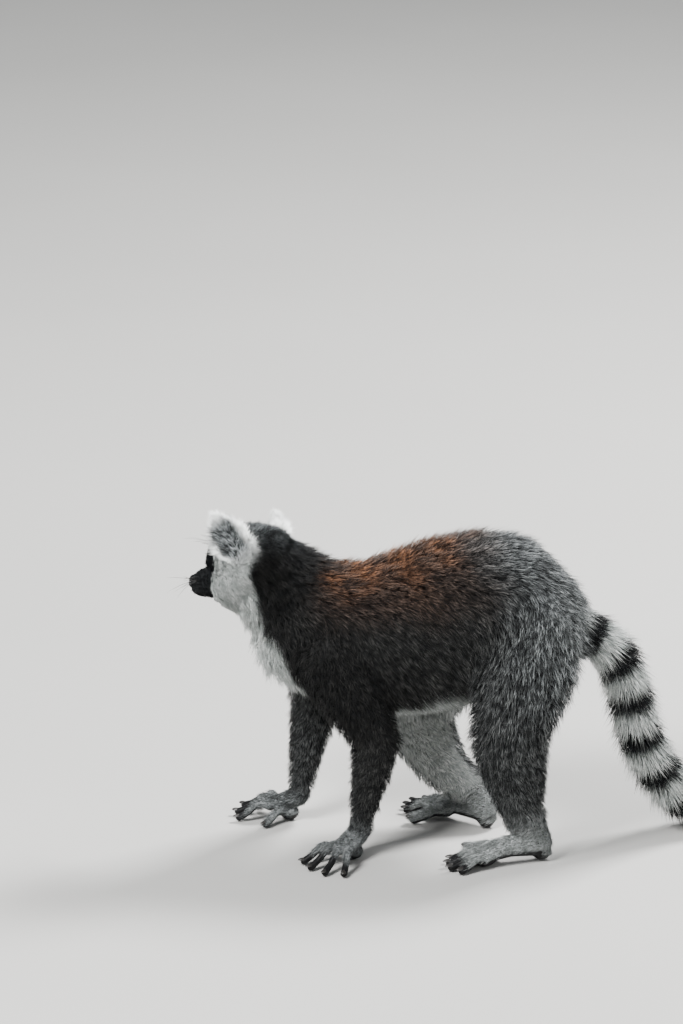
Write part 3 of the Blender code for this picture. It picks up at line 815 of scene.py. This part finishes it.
def bare_share(points, normals, kinds):
    """How bare each point of the hands and feet is: soles, palms and digits."""
    bare = step(0.15, -0.25, normals[:, 2]) * step(0.020, 0.012, points[:, 2])
    for (kind, side), (joint, heading) in PAWS.items():
        ahead = np.array((math.cos(heading), math.sin(heading), 0.0))
        forward = (points - np.array(joint)) @ ahead
        near = np.linalg.norm(points[:, :2] - np.array(joint)[:2], axis=1) < 0.10
        starts = BARE_FROM[kind]
        bare = np.maximum(bare, step(starts, starts + 0.014, forward) * near * (kinds == kind))
    return bare


def unwrapped(obj):
    """An unwrap of the skin's own shape, which the coat's tufts are placed on."""
    layer = obj.data.uv_layers.new(name="OFBake")
    obj.data.uv_layers.active = layer
    bpy.context.view_layer.objects.active = obj
    obj.select_set(True)
    bpy.ops.object.mode_set(mode="EDIT")
    bpy.ops.mesh.select_all(action="SELECT")
    bpy.ops.uv.smart_project(angle_limit=math.radians(66), island_margin=0.002)
    bpy.ops.object.mode_set(mode="OBJECT")
    obj.select_set(False)


# ---------------------------------------------------------------- materials
def new_material(name):
    """A material with its one shader, and a tree to add to."""
    material = bpy.data.materials.new(name)
    material.use_nodes = True
    return material, material.node_tree, material.node_tree.nodes["Principled BSDF"]


def hide_material():
    """Hide: short hair lying flat over skin, which shows between the tufts. Bare skin is black and finely creased, and
    painted a shade darker in its creases.

    Strands are 0.5 mm apart and seven times as long. Real ones are finer and wouldn't show. Creases are 0.45 mm apart.
    """
    material, tree, shader = new_material("furred hide")
    root, tip, bare, lie = (add(tree, "ShaderNodeAttribute", attribute_name=name)[output] for name, output in (
        ("root_tint", "Color"), ("tip_tint", "Color"), ("bare", "Fac"), ("lie", "Vector")))
    place = add(tree, "ShaderNodeTexCoord")["Object"]
    along = add(tree, VECTOR, {0: place, 1: lie}, operation="DOT_PRODUCT")["Value"]
    squeezed = add(tree, MATH, {0: along, 1: -0.86}, operation="MULTIPLY")[0]
    drawn = add(tree, VECTOR, {0: lie, "Scale": squeezed}, operation="SCALE")[0]
    combed = add(tree, VECTOR, {0: place, 1: drawn}, operation="ADD")[0]
    strands = add(tree, "ShaderNodeTexNoise", {"Vector": combed, "Scale": 1800.0, "Detail": 2.0})["Fac"]
    share = add(tree, "ShaderNodeMapRange", {"Value": strands, "From Min": 0.35, "From Max": 0.72})[0]
    hair = add(tree, "ShaderNodeMix", {0: share, 6: root, 7: tip}, data_type="RGBA")[2]
    creases = add(tree, "ShaderNodeTexVoronoi", {"Vector": place, "Scale": 2200.0},
                  feature="DISTANCE_TO_EDGE")["Distance"]
    # The bare skin is painted darker along its creases: painted shade.
    leather_and_crease_shade = add(tree, "ShaderNodeMix", {0: creases, 6: (*linear("0A0A0B"), 1), 7: (*linear("131315"), 1)},
                  data_type="RGBA")[2]
    colour = add(tree, "ShaderNodeMix", {0: bare, 6: hair, 7: leather_and_crease_shade}, data_type="RGBA")[2]
    rough = add(tree, "ShaderNodeMapRange", {"Value": bare, "To Min": 0.75, "To Max": 0.40})[0]
    relief = add(tree, "ShaderNodeMix", {0: bare, 2: strands, 3: creases})[0]
    bump = add(tree, "ShaderNodeBump", {"Height": relief, "Strength": 0.5, "Distance": 0.0004})[0]
    feed(tree, shader, {"Base Color": colour, "Roughness": rough, "Specular IOR Level": 0.15, "Normal": bump})
    return material


def coat_material():
    """Guard hair: dull, dark at the root, lighter and catching light at the tip, no two tufts alike. The dark root is
    partly painted shade deep in the coat, and the light tip is partly a painted sheen.

    Patches of 9 mm are paler or darker, as where the coat parts.
    """
    material, tree, shader = new_material("lemur guard hair")
    root, tip, along, draw = (add(tree, "ShaderNodeAttribute", attribute_name=name)[output] for name, output in (
        ("root_tint", "Color"), ("tip_tint", "Color"), ("along", "Fac"), ("shade", "Fac")))
    place = add(tree, "ShaderNodeTexCoord")["Object"]
    spread = add(tree, MATH, {0: draw, 1: 1.5}, operation="POWER")[0]
    # Up to about a fifth of the way along, a tuft keeps its root colour: partly the hair's own banding, partly painted
    # shade deep in the coat.
    rise = add(tree, "ShaderNodeMapRange", {"Value": along, "From Min": 0.22, "From Max": 0.80})[0]
    share = add(tree, MATH, {0: spread, 1: rise}, operation="MULTIPLY")[0]
    patches = add(tree, "ShaderNodeTexNoise", {"Vector": place, "Scale": 110.0, "Detail": 3.0})["Fac"]
    uneven = add(tree, "ShaderNodeMapRange", {"Value": patches, "From Min": 0.34, "From Max": 0.66,
                                              "To Min": 0.22, "To Max": 1.60})[0]
    share = add(tree, MATH, {0: share, 1: uneven}, operation="MULTIPLY", use_clamp=True)[0]
    hair = add(tree, "ShaderNodeMix", {0: share, 6: root, 7: tip}, data_type="RGBA")[2]
    feed(tree, shader, {"Base Color": hair, "Roughness": 0.62, "Specular IOR Level": 0.10, "IOR": 1.55})
    return material


def eye_material(colours):
    """A wet eye: amber iris with fine spokes, round black pupil, dark rim, under a clear cornea."""
    material, tree, shader = new_material("wet eye")
    angle = add(tree, "ShaderNodeAttribute", attribute_name="gaze")["Fac"]
    place = add(tree, "ShaderNodeAttribute", attribute_name="spoke")["Vector"]
    spokes = add(tree, "ShaderNodeTexNoise", {"Vector": place, "Scale": 9.0, "Detail": 3.0})["Fac"]
    nudge = add(tree, MATH, {0: spokes, 1: 0.10, 2: -0.05}, operation="MULTIPLY_ADD")[0]
    zone = add(tree, MATH, {0: angle, 1: nudge}, operation="ADD")[0]
    tone = add(tree, "ShaderNodeValToRGB", {"Fac": zone})[0]
    amber = Vector(colours.amber)
    stops = ((0.0, (0.004, 0.003, 0.003)), (0.20, (0.004, 0.003, 0.003)), (0.235, amber * 0.3), (0.32, amber * 0.85),
             (0.52, amber), (0.62, amber * 0.45), (0.67, (0.012, 0.009, 0.008)), (1.0, (0.02, 0.015, 0.012)))
    zones = tone.node.color_ramp.elements
    while len(zones) < len(stops):
        zones.new(0.5)
    for element, (at, colour) in zip(zones, stops):
        element.position, element.color = at, (*colour, 1)
    feed(tree, shader, {"Base Color": tone, "Roughness": 0.25, "IOR": 1.376, "Specular IOR Level": 0.05,
                        "Coat Weight": 0.35, "Coat Roughness": 0.02})
    return material


# Each plain finish: its two colours, how many grains of them go to a metre, its roughness, and the grain's depth.
PLAIN_FINISHES = {
    "dark nail horn": ("100F0F", "2E2B29", 1400.0, 0.42, 0.0002),      # smooth and dark, with faint 0.7 mm ridges
    "whisker bristle": ("100F0F", "2E2B29", 1400.0, 0.42, 0.0002),     # stiff black hair with a dull shine
    "moist black skin": ("070707", "1C1B1C", 2500.0, 0.38, 0.0002),    # the bare rim of the lids, with small painted glints
    "matt pale floor paint": ("A3A29F", "AAA9A6", 2.0, 0.8, 0.0),      # flat and pale, faintly cloudy
}


def plain_material(name):
    """One of the plain finishes."""
    material, tree, shader = new_material(name)
    dark, pale, scale, roughness, depth = PLAIN_FINISHES[name]
    place = add(tree, "ShaderNodeTexCoord")["Object"]
    grain = add(tree, "ShaderNodeTexNoise", {"Vector": place, "Scale": scale})["Fac"]
    colour = add(tree, "ShaderNodeMix", {0: grain, 6: (*linear(dark), 1), 7: (*linear(pale), 1)}, data_type="RGBA")[2]
    feed(tree, shader, {"Base Color": colour, "Roughness": roughness})
    if depth:
        bump = add(tree, "ShaderNodeBump", {"Height": grain, "Strength": 0.3, "Distance": depth})[0]
        feed(tree, shader, {"Normal": bump})
    return material


# ---------------------------------------------------------------- the coat's tree
COAT_INPUTS = (
    ("Skin", "Geometry", None), ("Tufts per square metre", "Float", 1e5), ("Seed", "Int", 1), ("Segments", "Int", 2),
    ("Thickness", "Float", 1.0), ("Shortest", "Float", 0.70), ("Longest", "Float", 1.12), ("Stray", "Float", 0.16),
    ("Lock size", "Float", 0.008), ("Lock pull", "Float", 0.45), ("Patch", "Float", 0.003), ("Floor", "Float", 0.0006),
    ("Finish", "Material", None),
)
# What the skin, the roots and the spike hand to the tufts
FIELDS = {
    "FLOAT": ("thick", "girth", "vigour", "along"),
    "FLOAT_VECTOR": ("reach_root", "reach_tip", "OFBake", "root", "away", "stray", "gather", "unwrap", "cross"),
}
# Each row makes a value from earlier ones: its name, the node, what the node does, and its inputs.
TUFT_STEPS = (
    # Along the bend the way turns from that at the root to that at the tip.
    ("half", MATH, "MULTIPLY", "along", "along"),
    ("tip part", MATH, "MULTIPLY", "half", 0.5),
    ("root part", MATH, "SUBTRACT", "along", "tip part"),
    ("from root", VECTOR, "SCALE", "reach_root", "root part"),
    ("from tip", VECTOR, "SCALE", "reach_tip", "tip part"),
    ("bend", VECTOR, "ADD", "from root", "from tip"),
    ("length", VECTOR, "LENGTH", "reach_root"),
    ("loose", MATH, "MULTIPLY", "length", "Stray"),
    ("loose", MATH, "MULTIPLY", "loose", "half"),
    ("strayed", VECTOR, "SCALE", "stray", "loose"),
    ("bend", VECTOR, "ADD", "bend", "strayed"),
    ("bend", VECTOR, "SCALE", "bend", "vigour"),
    ("drawn", VECTOR, "SCALE", "gather", "half"),
    ("bend", VECTOR, "ADD", "bend", "drawn"),
    # The cross-section is widest half-way up, and half as thick as it is wide.
    ("side", VECTOR, "CROSS_PRODUCT", "reach_root", "away"),
    ("side", VECTOR, "NORMALIZE", "side"),
    ("rise", VECTOR, "CROSS_PRODUCT", "side", "reach_root"),
    ("rise", VECTOR, "NORMALIZE", "rise"),
    ("swell", MATH, "MULTIPLY_ADD", "along", 2.6, 0.7),
    ("swell", MATH, "MULTIPLY", "swell", "girth"),
    ("swell", MATH, "MULTIPLY", "swell", "Thickness"),
    ("wide", MATH, "MULTIPLY", "cross x", "swell"),
    ("flat", MATH, "MULTIPLY", "cross y", "swell"),
    ("flat", MATH, "MULTIPLY", "flat", 0.55),
    ("wide", VECTOR, "SCALE", "side", "wide"),
    ("flat", VECTOR, "SCALE", "rise", "flat"),
    ("spot", VECTOR, "ADD", "root", "bend"),
    ("spot", VECTOR, "ADD", "spot", "wide"),
    ("spot", VECTOR, "ADD", "spot", "flat"),
    # Each tuft is a small patch on the unwrap, at its root's place.
    ("across", VECTOR, "DOT_PRODUCT", "cross", (0.47, 0.17, 0.0)),
    ("upward", VECTOR, "DOT_PRODUCT", "cross", (0.05, -0.10, 0.9)),
)


def coat_tree():
    """Scatters roots over the skin and grows on each a tapered tuft that bends the way the hair lies."""
    tree = bpy.data.node_groups.new("coat tufts", "GeometryNodeTree")
    for name, kind, default in COAT_INPUTS:
        socket = tree.interface.new_socket(name=name, in_out="INPUT", socket_type="NodeSocket" + kind)
        if default is not None:
            socket.default_value = default
    tree.interface.new_socket(name="Coat", in_out="OUTPUT", socket_type="NodeSocketGeometry")
    given = tree.nodes.new("NodeGroupInput").outputs
    made = {name: add(tree, "GeometryNodeInputNamedAttribute", {"Name": name}, data_type=kind)["Attribute"]
            for kind, names in FIELDS.items() for name in names}
    density = add(tree, MATH, {0: given["Tufts per square metre"], 1: made["thick"]}, operation="MULTIPLY")[0]
    roots = add(tree, "GeometryNodeDistributePointsOnFaces",
                {"Mesh": given["Skin"], "Density": density, "Seed": given["Seed"]}, distribute_method="RANDOM")
    place = add(tree, "GeometryNodeInputPosition")[0]
    stray = add(tree, "FunctionNodeRandomValue", {0: (-1, -1, -1), 1: (1, 1, 1), 8: 11}, data_type="FLOAT_VECTOR")
    vigour = add(tree, "FunctionNodeRandomValue", {2: given["Shortest"], 3: given["Longest"], 8: 12})
    draw = add(tree, "FunctionNodeRandomValue", {8: 13})
    finer = add(tree, MATH, {0: 1.0, 1: given["Lock size"]}, operation="DIVIDE")[0]
    locks = add(tree, "ShaderNodeTexVoronoi", {"Vector": place, "Scale": finer}, voronoi_dimensions="3D")
    inward = add(tree, VECTOR, {0: locks["Position"], 1: place}, operation="SUBTRACT")[0]
    gather = add(tree, VECTOR, {0: inward, "Scale": given["Lock pull"]}, operation="SCALE")[0]
    coat = roots["Points"]
    for name, kind, value in (("root", "FLOAT_VECTOR", place), ("away", "FLOAT_VECTOR", roots["Normal"]),
                              ("stray", "FLOAT_VECTOR", stray[0]), ("vigour", "FLOAT", vigour[1]),
                              ("shade", "FLOAT", draw[1]), ("gather", "FLOAT_VECTOR", gather),
                              ("unwrap", "FLOAT_VECTOR", made["OFBake"])):
        coat = add(tree, STORE, {"Geometry": coat, "Name": name, "Value": value}, data_type=kind, domain="POINT")[0]
    spike = add(tree, "GeometryNodeMeshCone", {"Vertices": 3, "Side Segments": given["Segments"], "Radius Top": 0.0,
                                               "Radius Bottom": 1.0, "Depth": 1.0})["Mesh"]
    height = add(tree, "ShaderNodeSeparateXYZ", {0: place})[2]
    for name, kind, value in (("along", "FLOAT", height), ("cross", "FLOAT_VECTOR", place)):
        spike = add(tree, STORE, {"Geometry": spike, "Name": name, "Value": value}, data_type=kind, domain="POINT")[0]
    coat = add(tree, "GeometryNodeInstanceOnPoints", {"Points": coat, "Instance": spike})[0]
    coat = add(tree, "GeometryNodeRealizeInstances", {0: coat})[0]
    made["cross x"], made["cross y"], _ = add(tree, "ShaderNodeSeparateXYZ", {0: made["cross"]})
    made.update({name: given[name] for name in ("Stray", "Thickness")})
    for name, kind, operation, *values in TUFT_STEPS:
        keys = (0, "Scale") if operation == "SCALE" else range(len(values))
        found = add(tree, kind, {key: made.get(value, value) for key, value in zip(keys, values)}, operation=operation)
        made[name] = found["Value" if operation in ("LENGTH", "DOT_PRODUCT") else 0]
    x, y, z = add(tree, "ShaderNodeSeparateXYZ", {0: made["spot"]})
    above = add(tree, MATH, {0: z, 1: given["Floor"]}, operation="MAXIMUM")[0]
    spot = add(tree, "ShaderNodeCombineXYZ", {0: x, 1: y, 2: above})[0]
    coat = add(tree, "GeometryNodeSetPosition", {"Geometry": coat, "Position": spot})[0]
    within = add(tree, "ShaderNodeCombineXYZ", {0: made["across"], 1: made["upward"]})[0]
    within = add(tree, VECTOR, {0: within, "Scale": given["Patch"]}, operation="SCALE")[0]
    spot = add(tree, VECTOR, {0: made["unwrap"], 1: within}, operation="ADD")[0]
    coat = add(tree, STORE, {"Geometry": coat, "Name": "OFBake", "Value": spot}, data_type="FLOAT2", domain="CORNER")[0]
    coat = add(tree, "GeometryNodeSetMaterial", {"Geometry": coat, "Material": given["Finish"]})[0]
    add(tree, "NodeGroupOutput", {0: coat})
    return tree


# What the finish of the coat reads, and the unwrap
KEPT_ON_COAT = {"root_tint", "tip_tint", "along", "shade", "OFBake"}


def grown(patch, tree, name, **inputs):
    """The patch of skin's coat as a plain mesh, through the tree's named inputs."""
    obj = placed(name, patch)
    modifier = obj.modifiers.new("tufts", "NODES")
    modifier.node_group = tree
    sockets = {item.name: item.identifier for item in tree.interface.items_tree if item.in_out == "INPUT"}
    for key, value in inputs.items():
        modifier[sockets[key.replace("_", " ")]] = value
    mesh = applied(obj, name)
    for attribute in list(mesh.attributes):
        if attribute.name not in KEPT_ON_COAT and not attribute.is_internal and not attribute.is_required:
            mesh.attributes.remove(attribute)
    return mesh


def patch_of(skin, chosen, name):
    """A copy of the skin with only the chosen faces, and its area weighed by the tufts that each point wants."""
    bm = shape_of(skin)
    bm.faces.ensure_lookup_table()
    bmesh.ops.delete(bm, geom=[bm.faces[k] for k in np.flatnonzero(~chosen)], context="FACES")
    patch = finished(bm, name)
    thick = read(patch, "thick", 1)[:, 0]
    area = read(patch, "polygons", 1, "area")[:, 0]
    return patch, float((area * thick[joined(patch.polygons, 3)].mean(1)).sum())


# ---------------------------------------------------------------- operators
class LEMUR_OT_skin(bpy.types.Operator):
    """Grow the solids into one skin, draw it in by the coat's depth and mark it"""
    bl_idname = "lemur.skin"
    bl_label = "Skin"

    def execute(self, context):
        sizes = context.scene.lemur_skin
        mesh = thinned(skin_mesh(sizes), sizes.triangles)
        owner = nearest_nodes(points_of(mesh))
        skin = new_piece("skin", mesh, hide_material())
        mesh.shade_smooth()
        unwrapped(skin)
        comb(mesh, owner, context.scene.lemur_colours)
        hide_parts(*FLESH)
        return {"FINISHED"}


class LEMUR_OT_coat(bpy.types.Operator):
    """Grow the coat over the skin, piece by piece"""
    bl_idname = "lemur.coat"
    bl_label = "Coat"

    def execute(self, context):
        sizes = context.scene.lemur_coat
        skin = bpy.data.objects["skin"].data
        tree, finish = coat_tree(), coat_material()
        piece_of = read(skin, "piece", 1)[:, 0].round()[joined(skin.polygons, 3)].max(1)
        patches = {name: patch_of(skin, piece_of == index, name) for index, name in enumerate(COAT_PIECES)}
        for index, (name, slot) in enumerate(COAT_PIECES.items()):
            short = name in SHORT_COATED
            alike = sum(weight for other, (_, weight) in patches.items() if (other in SHORT_COATED) == short)
            density = (sizes.short_tufts if short else sizes.tufts) / alike
            mesh = grown(patches[name][0], tree, name, Tufts_per_square_metre=density, Seed=index + 1,
                         Stray=sizes.stray, Patch=sizes.patch, Floor=sizes.floor, Finish=finish,
                         **(SHORT_TUFT if short else LONG_TUFT))
            new_piece(name, mesh, finish)
        return {"FINISHED"}


class LEMUR_OT_eyes(bpy.types.Operator):
    """Make the eyeballs and the rims of the lids"""
    bl_idname = "lemur.eyes"
    bl_label = "Eyes and lids"

    def execute(self, context):
        finish, rim_finish = eye_material(context.scene.lemur_colours), plain_material("moist black skin")
        sizes = context.scene.lemur_skin
        for name, side in SIDES:
            middle, gaze, across, above = eye_axes(side)
            bm = bmesh.new()
            bmesh.ops.create_uvsphere(bm, u_segments=48, v_segments=40, radius=1.0)
            mesh = finished(bm, name + "_eyeball")
            ball = points_of(mesh)
            angle = np.arccos(np.clip(ball[:, 2], -1, 1))
            # The cornea bulges.
            bulge = 1 + 0.05 * step(math.radians(46), math.radians(20), angle)
            out = ball[:, :1] * across + ball[:, 1:2] * above + ball[:, 2:] * gaze
            move_points(mesh, middle + out * (EYE_RADIUS * BALL_SIZE * bulge)[:, None])
            write(mesh, "gaze", angle / IRIS_ANGLE)
            write(mesh, "spoke", ball * (1, 1, 0) / np.maximum(np.sin(angle), 0.05)[:, None])
            if np.dot(np.cross(across, above), gaze) < 0:
                mesh.flip_normals()
            mesh.shade_smooth()
            eye = new_piece(name + "_eyeball", mesh, finish)
            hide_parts("eye_" + name)
            new_piece(name + "_lid_rim", lid_rim(side, sizes), rim_finish)
        return {"FINISHED"}


def lid_rim(side, sizes):
    """A closed ring of bare skin along the edge of the lids."""
    middle, gaze, across, above = eye_axes(side)
    bm = bmesh.new()
    rows, steps, sides = [], 72, 8
    for k in range(steps):
        turn = 2 * math.pi * k / steps
        angle = float(lid_angle(np.array(turn), sizes.eye_opening)) + math.radians(1.5)
        out = gaze * math.cos(angle) + (across * math.cos(turn) + above * math.sin(turn)) * math.sin(angle)
        spot = middle + out * EYE_RADIUS * RIM_SIZE
        tangent = unit(-across * math.sin(turn) + above * math.cos(turn))
        flat = unit(np.cross(tangent, out))
        rows.append([bm.verts.new(spot + (out * math.cos(a) + flat * math.sin(a)) * sizes.lid_thickness)
                     for a in (2 * math.pi * j / sides for j in range(sides))])
    for row, after in zip(rows, rows[1:] + rows[:1]):
        for j in range(sides):
            bm.faces.new((row[j], row[(j + 1) % sides], after[(j + 1) % sides], after[j]))
    bmesh.ops.recalc_face_normals(bm, faces=bm.faces)
    mesh = finished(bm, "lid_rim")
    mesh.shade_smooth()
    return mesh


class LEMUR_OT_nails(bpy.types.Operator):
    """Set a nail on every finger and toe"""
    bl_idname = "lemur.nails"
    bl_label = "Nails"

    def execute(self, context):
        finish = plain_material("dark nail horn")
        for kind in ("hand", "foot"):
            bm = bmesh.new()
            for side_name, side in SIDES:
                for path, heading, radius in digits(kind, side_name, side):
                    nail(bm, Vector(path[-1]), heading, radius)
            bmesh.ops.recalc_face_normals(bm, faces=bm.faces)
            mesh = finished(bm, kind + "_nails")
            mesh.shade_smooth()
            new_piece(kind + "_nails", mesh, finish)
        return {"FINISHED"}


def nail(bm, tip, ahead, radius):
    """A small arched plate over the end of a digit, a little longer than the flesh."""
    across, rise = Vector((-ahead.y, ahead.x, 0)), Vector((0, 0, 1))
    for vert in bmesh.ops.create_uvsphere(bm, u_segments=14, v_segments=10, radius=1.0)["verts"]:
        x, y, z = vert.co
        arch = -0.55 * (y * y) - 0.30 * max(x, 0) ** 2 - 0.10 * x
        vert.co = (tip + ahead * (x * radius * 0.95 + radius * 0.55) + across * (y * radius * 0.62)
                   + rise * (radius * (0.78 + arch * 0.75) + z * radius * 0.16))


# Each group of bristles: its place on one side of the head, its spread and size, its way, length and number
BRISTLES = (
    ("whiskers", (-0.062, 0.0105, -0.0125), (1.3, 1, 0.8), 0.0060, (0.25, 1.0, 0.10), 0.042, 26),
    ("brow_bristles", (-0.0310, 0.0140, 0.0195), (1, 1, 1), 0.0050, (-0.60, 0.60, 0.60), 0.027, 14),
)
BRISTLE_WIDTH = 0.00024


class LEMUR_OT_whiskers(bpy.types.Operator):
    """Grow the whiskers on the muzzle and the bristles over the eyes"""
    bl_idname = "lemur.whiskers"
    bl_label = "Whiskers"

    def execute(self, context):
        skin = bpy.data.objects["skin"].data
        finish = plain_material("whisker bristle")
        points = in_frame(points_of(skin), HEAD)
        middles = points[joined(skin.polygons, 3)].mean(1)
        tree = bpy.data.node_groups["coat tufts"]
        middles[:, 1] = np.abs(middles[:, 1])
        for name, spot, spread, size, way, length, count in BRISTLES:
            chosen = np.linalg.norm((middles - spot) / spread, axis=1) < size
            patch, _ = patch_of(skin, chosen, name)
            out = np.tile(way, (len(patch.vertices), 1))
            out[:, 1] *= np.sign(in_frame(points_of(patch), HEAD)[:, 1])
            out = turned(unit(out), HEAD_TURN) * length
            write(patch, "reach_root", out)
            write(patch, "reach_tip", unit(out + UP * -0.35 * length) * length)
            write(patch, "girth", np.full(len(out), BRISTLE_WIDTH))
            write(patch, "thick", np.ones(len(out)))
            area = float(read(patch, "polygons", 1, "area").sum())
            mesh = grown(patch, tree, name, Tufts_per_square_metre=count / area, Seed=31, Segments=6, Shortest=0.6,
                         Stray=0.30, Lock_pull=0.0, Finish=finish)
            new_piece(name, mesh, finish)
        return {"FINISHED"}


# Each soft light: its place, power in watts and width. They shine on one spot, and the camera aims at another.
LIGHTS = (("key", (-1.8, -2.0, 2.8), 340, 1.1), ("fill", (2.4, -2.6, 1.4), 40, 2.2), ("rim", (1.5, 1.5, 2.8), 400, 1.0))
LIT = Vector((0, 0, 0.15))
AIM = Vector((-0.0706, 0.0, 0.337)) + CHEST
SENSOR = 36.0            # height of the camera's sensor in millimetres


class LEMUR_OT_stage(bpy.types.Operator):
    """Set the floor, the lights and the camera"""
    bl_idname = "lemur.stage"
    bl_label = "Stage"

    def execute(self, context):
        scene, sizes = context.scene, context.scene.lemur_stage
        bm = bmesh.new()
        bmesh.ops.create_grid(bm, x_segments=1, y_segments=1, size=8.0)
        floor = placed("floor", finished(bm, "floor"))
        floor.data.materials.append(plain_material("matt pale floor paint"))
        scene.world = scene.world or bpy.data.worlds.new("studio")
        scene.world.use_nodes = True
        sky = scene.world.node_tree
        feed(sky, sky.nodes["Background"], {"Color": (*linear("E4E8EC"), 1), "Strength": 0.62})
        for name, place, power, size in LIGHTS:
            lamp = bpy.data.lights.new(name, "AREA")
            lamp.energy, lamp.size = power, size
            light = placed(name, lamp)
            light.location = place
            light.rotation_euler = (LIT - light.location).to_track_quat("-Z", "Y").to_euler()
        away = Vector((0, -math.cos(sizes.elevation), math.sin(sizes.elevation)))
        data = bpy.data.cameras.new("camera")
        data.sensor_fit, data.sensor_height = "VERTICAL", SENSOR
        data.lens = SENSOR * sizes.distance / sizes.frame_height
        scene.camera = placed("camera", data)
        scene.camera.location = AIM + away * sizes.distance
        scene.camera.rotation_euler = (-away).to_track_quat("-Z", "Y").to_euler()
        return {"FINISHED"}


class LEMUR_PT_panel(bpy.types.Panel):
    """The lemur's pieces, in the order that they are made"""
    bl_label = "Ring-tailed lemur"
    bl_idname = "LEMUR_PT_panel"
    bl_space_type = "VIEW_3D"
    bl_region_type = "UI"
    bl_category = "Lemur"

    def draw(self, context):
        for group, _ in GROUPS:
            for name in getattr(context.scene, group).bl_rna.properties.keys():
                if name not in ("rna_type", "name"):
                    self.layout.prop(getattr(context.scene, group), name)
        for operator in OPERATORS:
            self.layout.operator(operator.bl_idname)


GROUPS = (("lemur_skin", SkinSizes), ("lemur_coat", CoatSizes), ("lemur_colours", CoatColours),
          ("lemur_stage", StageSizes))
OPERATORS = (LEMUR_OT_skin, LEMUR_OT_coat, LEMUR_OT_eyes, LEMUR_OT_nails, LEMUR_OT_whiskers, LEMUR_OT_stage)


def register():
    for name, group in GROUPS:
        bpy.utils.register_class(group)
        setattr(bpy.types.Scene, name, PointerProperty(type=group))
    for operator in OPERATORS:
        bpy.utils.register_class(operator)
    bpy.utils.register_class(LEMUR_PT_panel)


def unregister():
    bpy.utils.unregister_class(LEMUR_PT_panel)
    for operator in reversed(OPERATORS):
        bpy.utils.unregister_class(operator)
    for name, group in reversed(GROUPS):
        delattr(bpy.types.Scene, name)
        bpy.utils.unregister_class(group)


def main():
    for name in ("Cube", "Light", "Camera"):
        if name in bpy.data.objects:
            bpy.data.objects.remove(bpy.data.objects[name])
    register()
    bpy.ops.lemur.skin()
    bpy.ops.lemur.coat()
    bpy.ops.lemur.eyes()
    bpy.ops.lemur.nails()
    bpy.ops.lemur.whiskers()
    bpy.ops.lemur.stage()


if __name__ == "__main__":
    main()
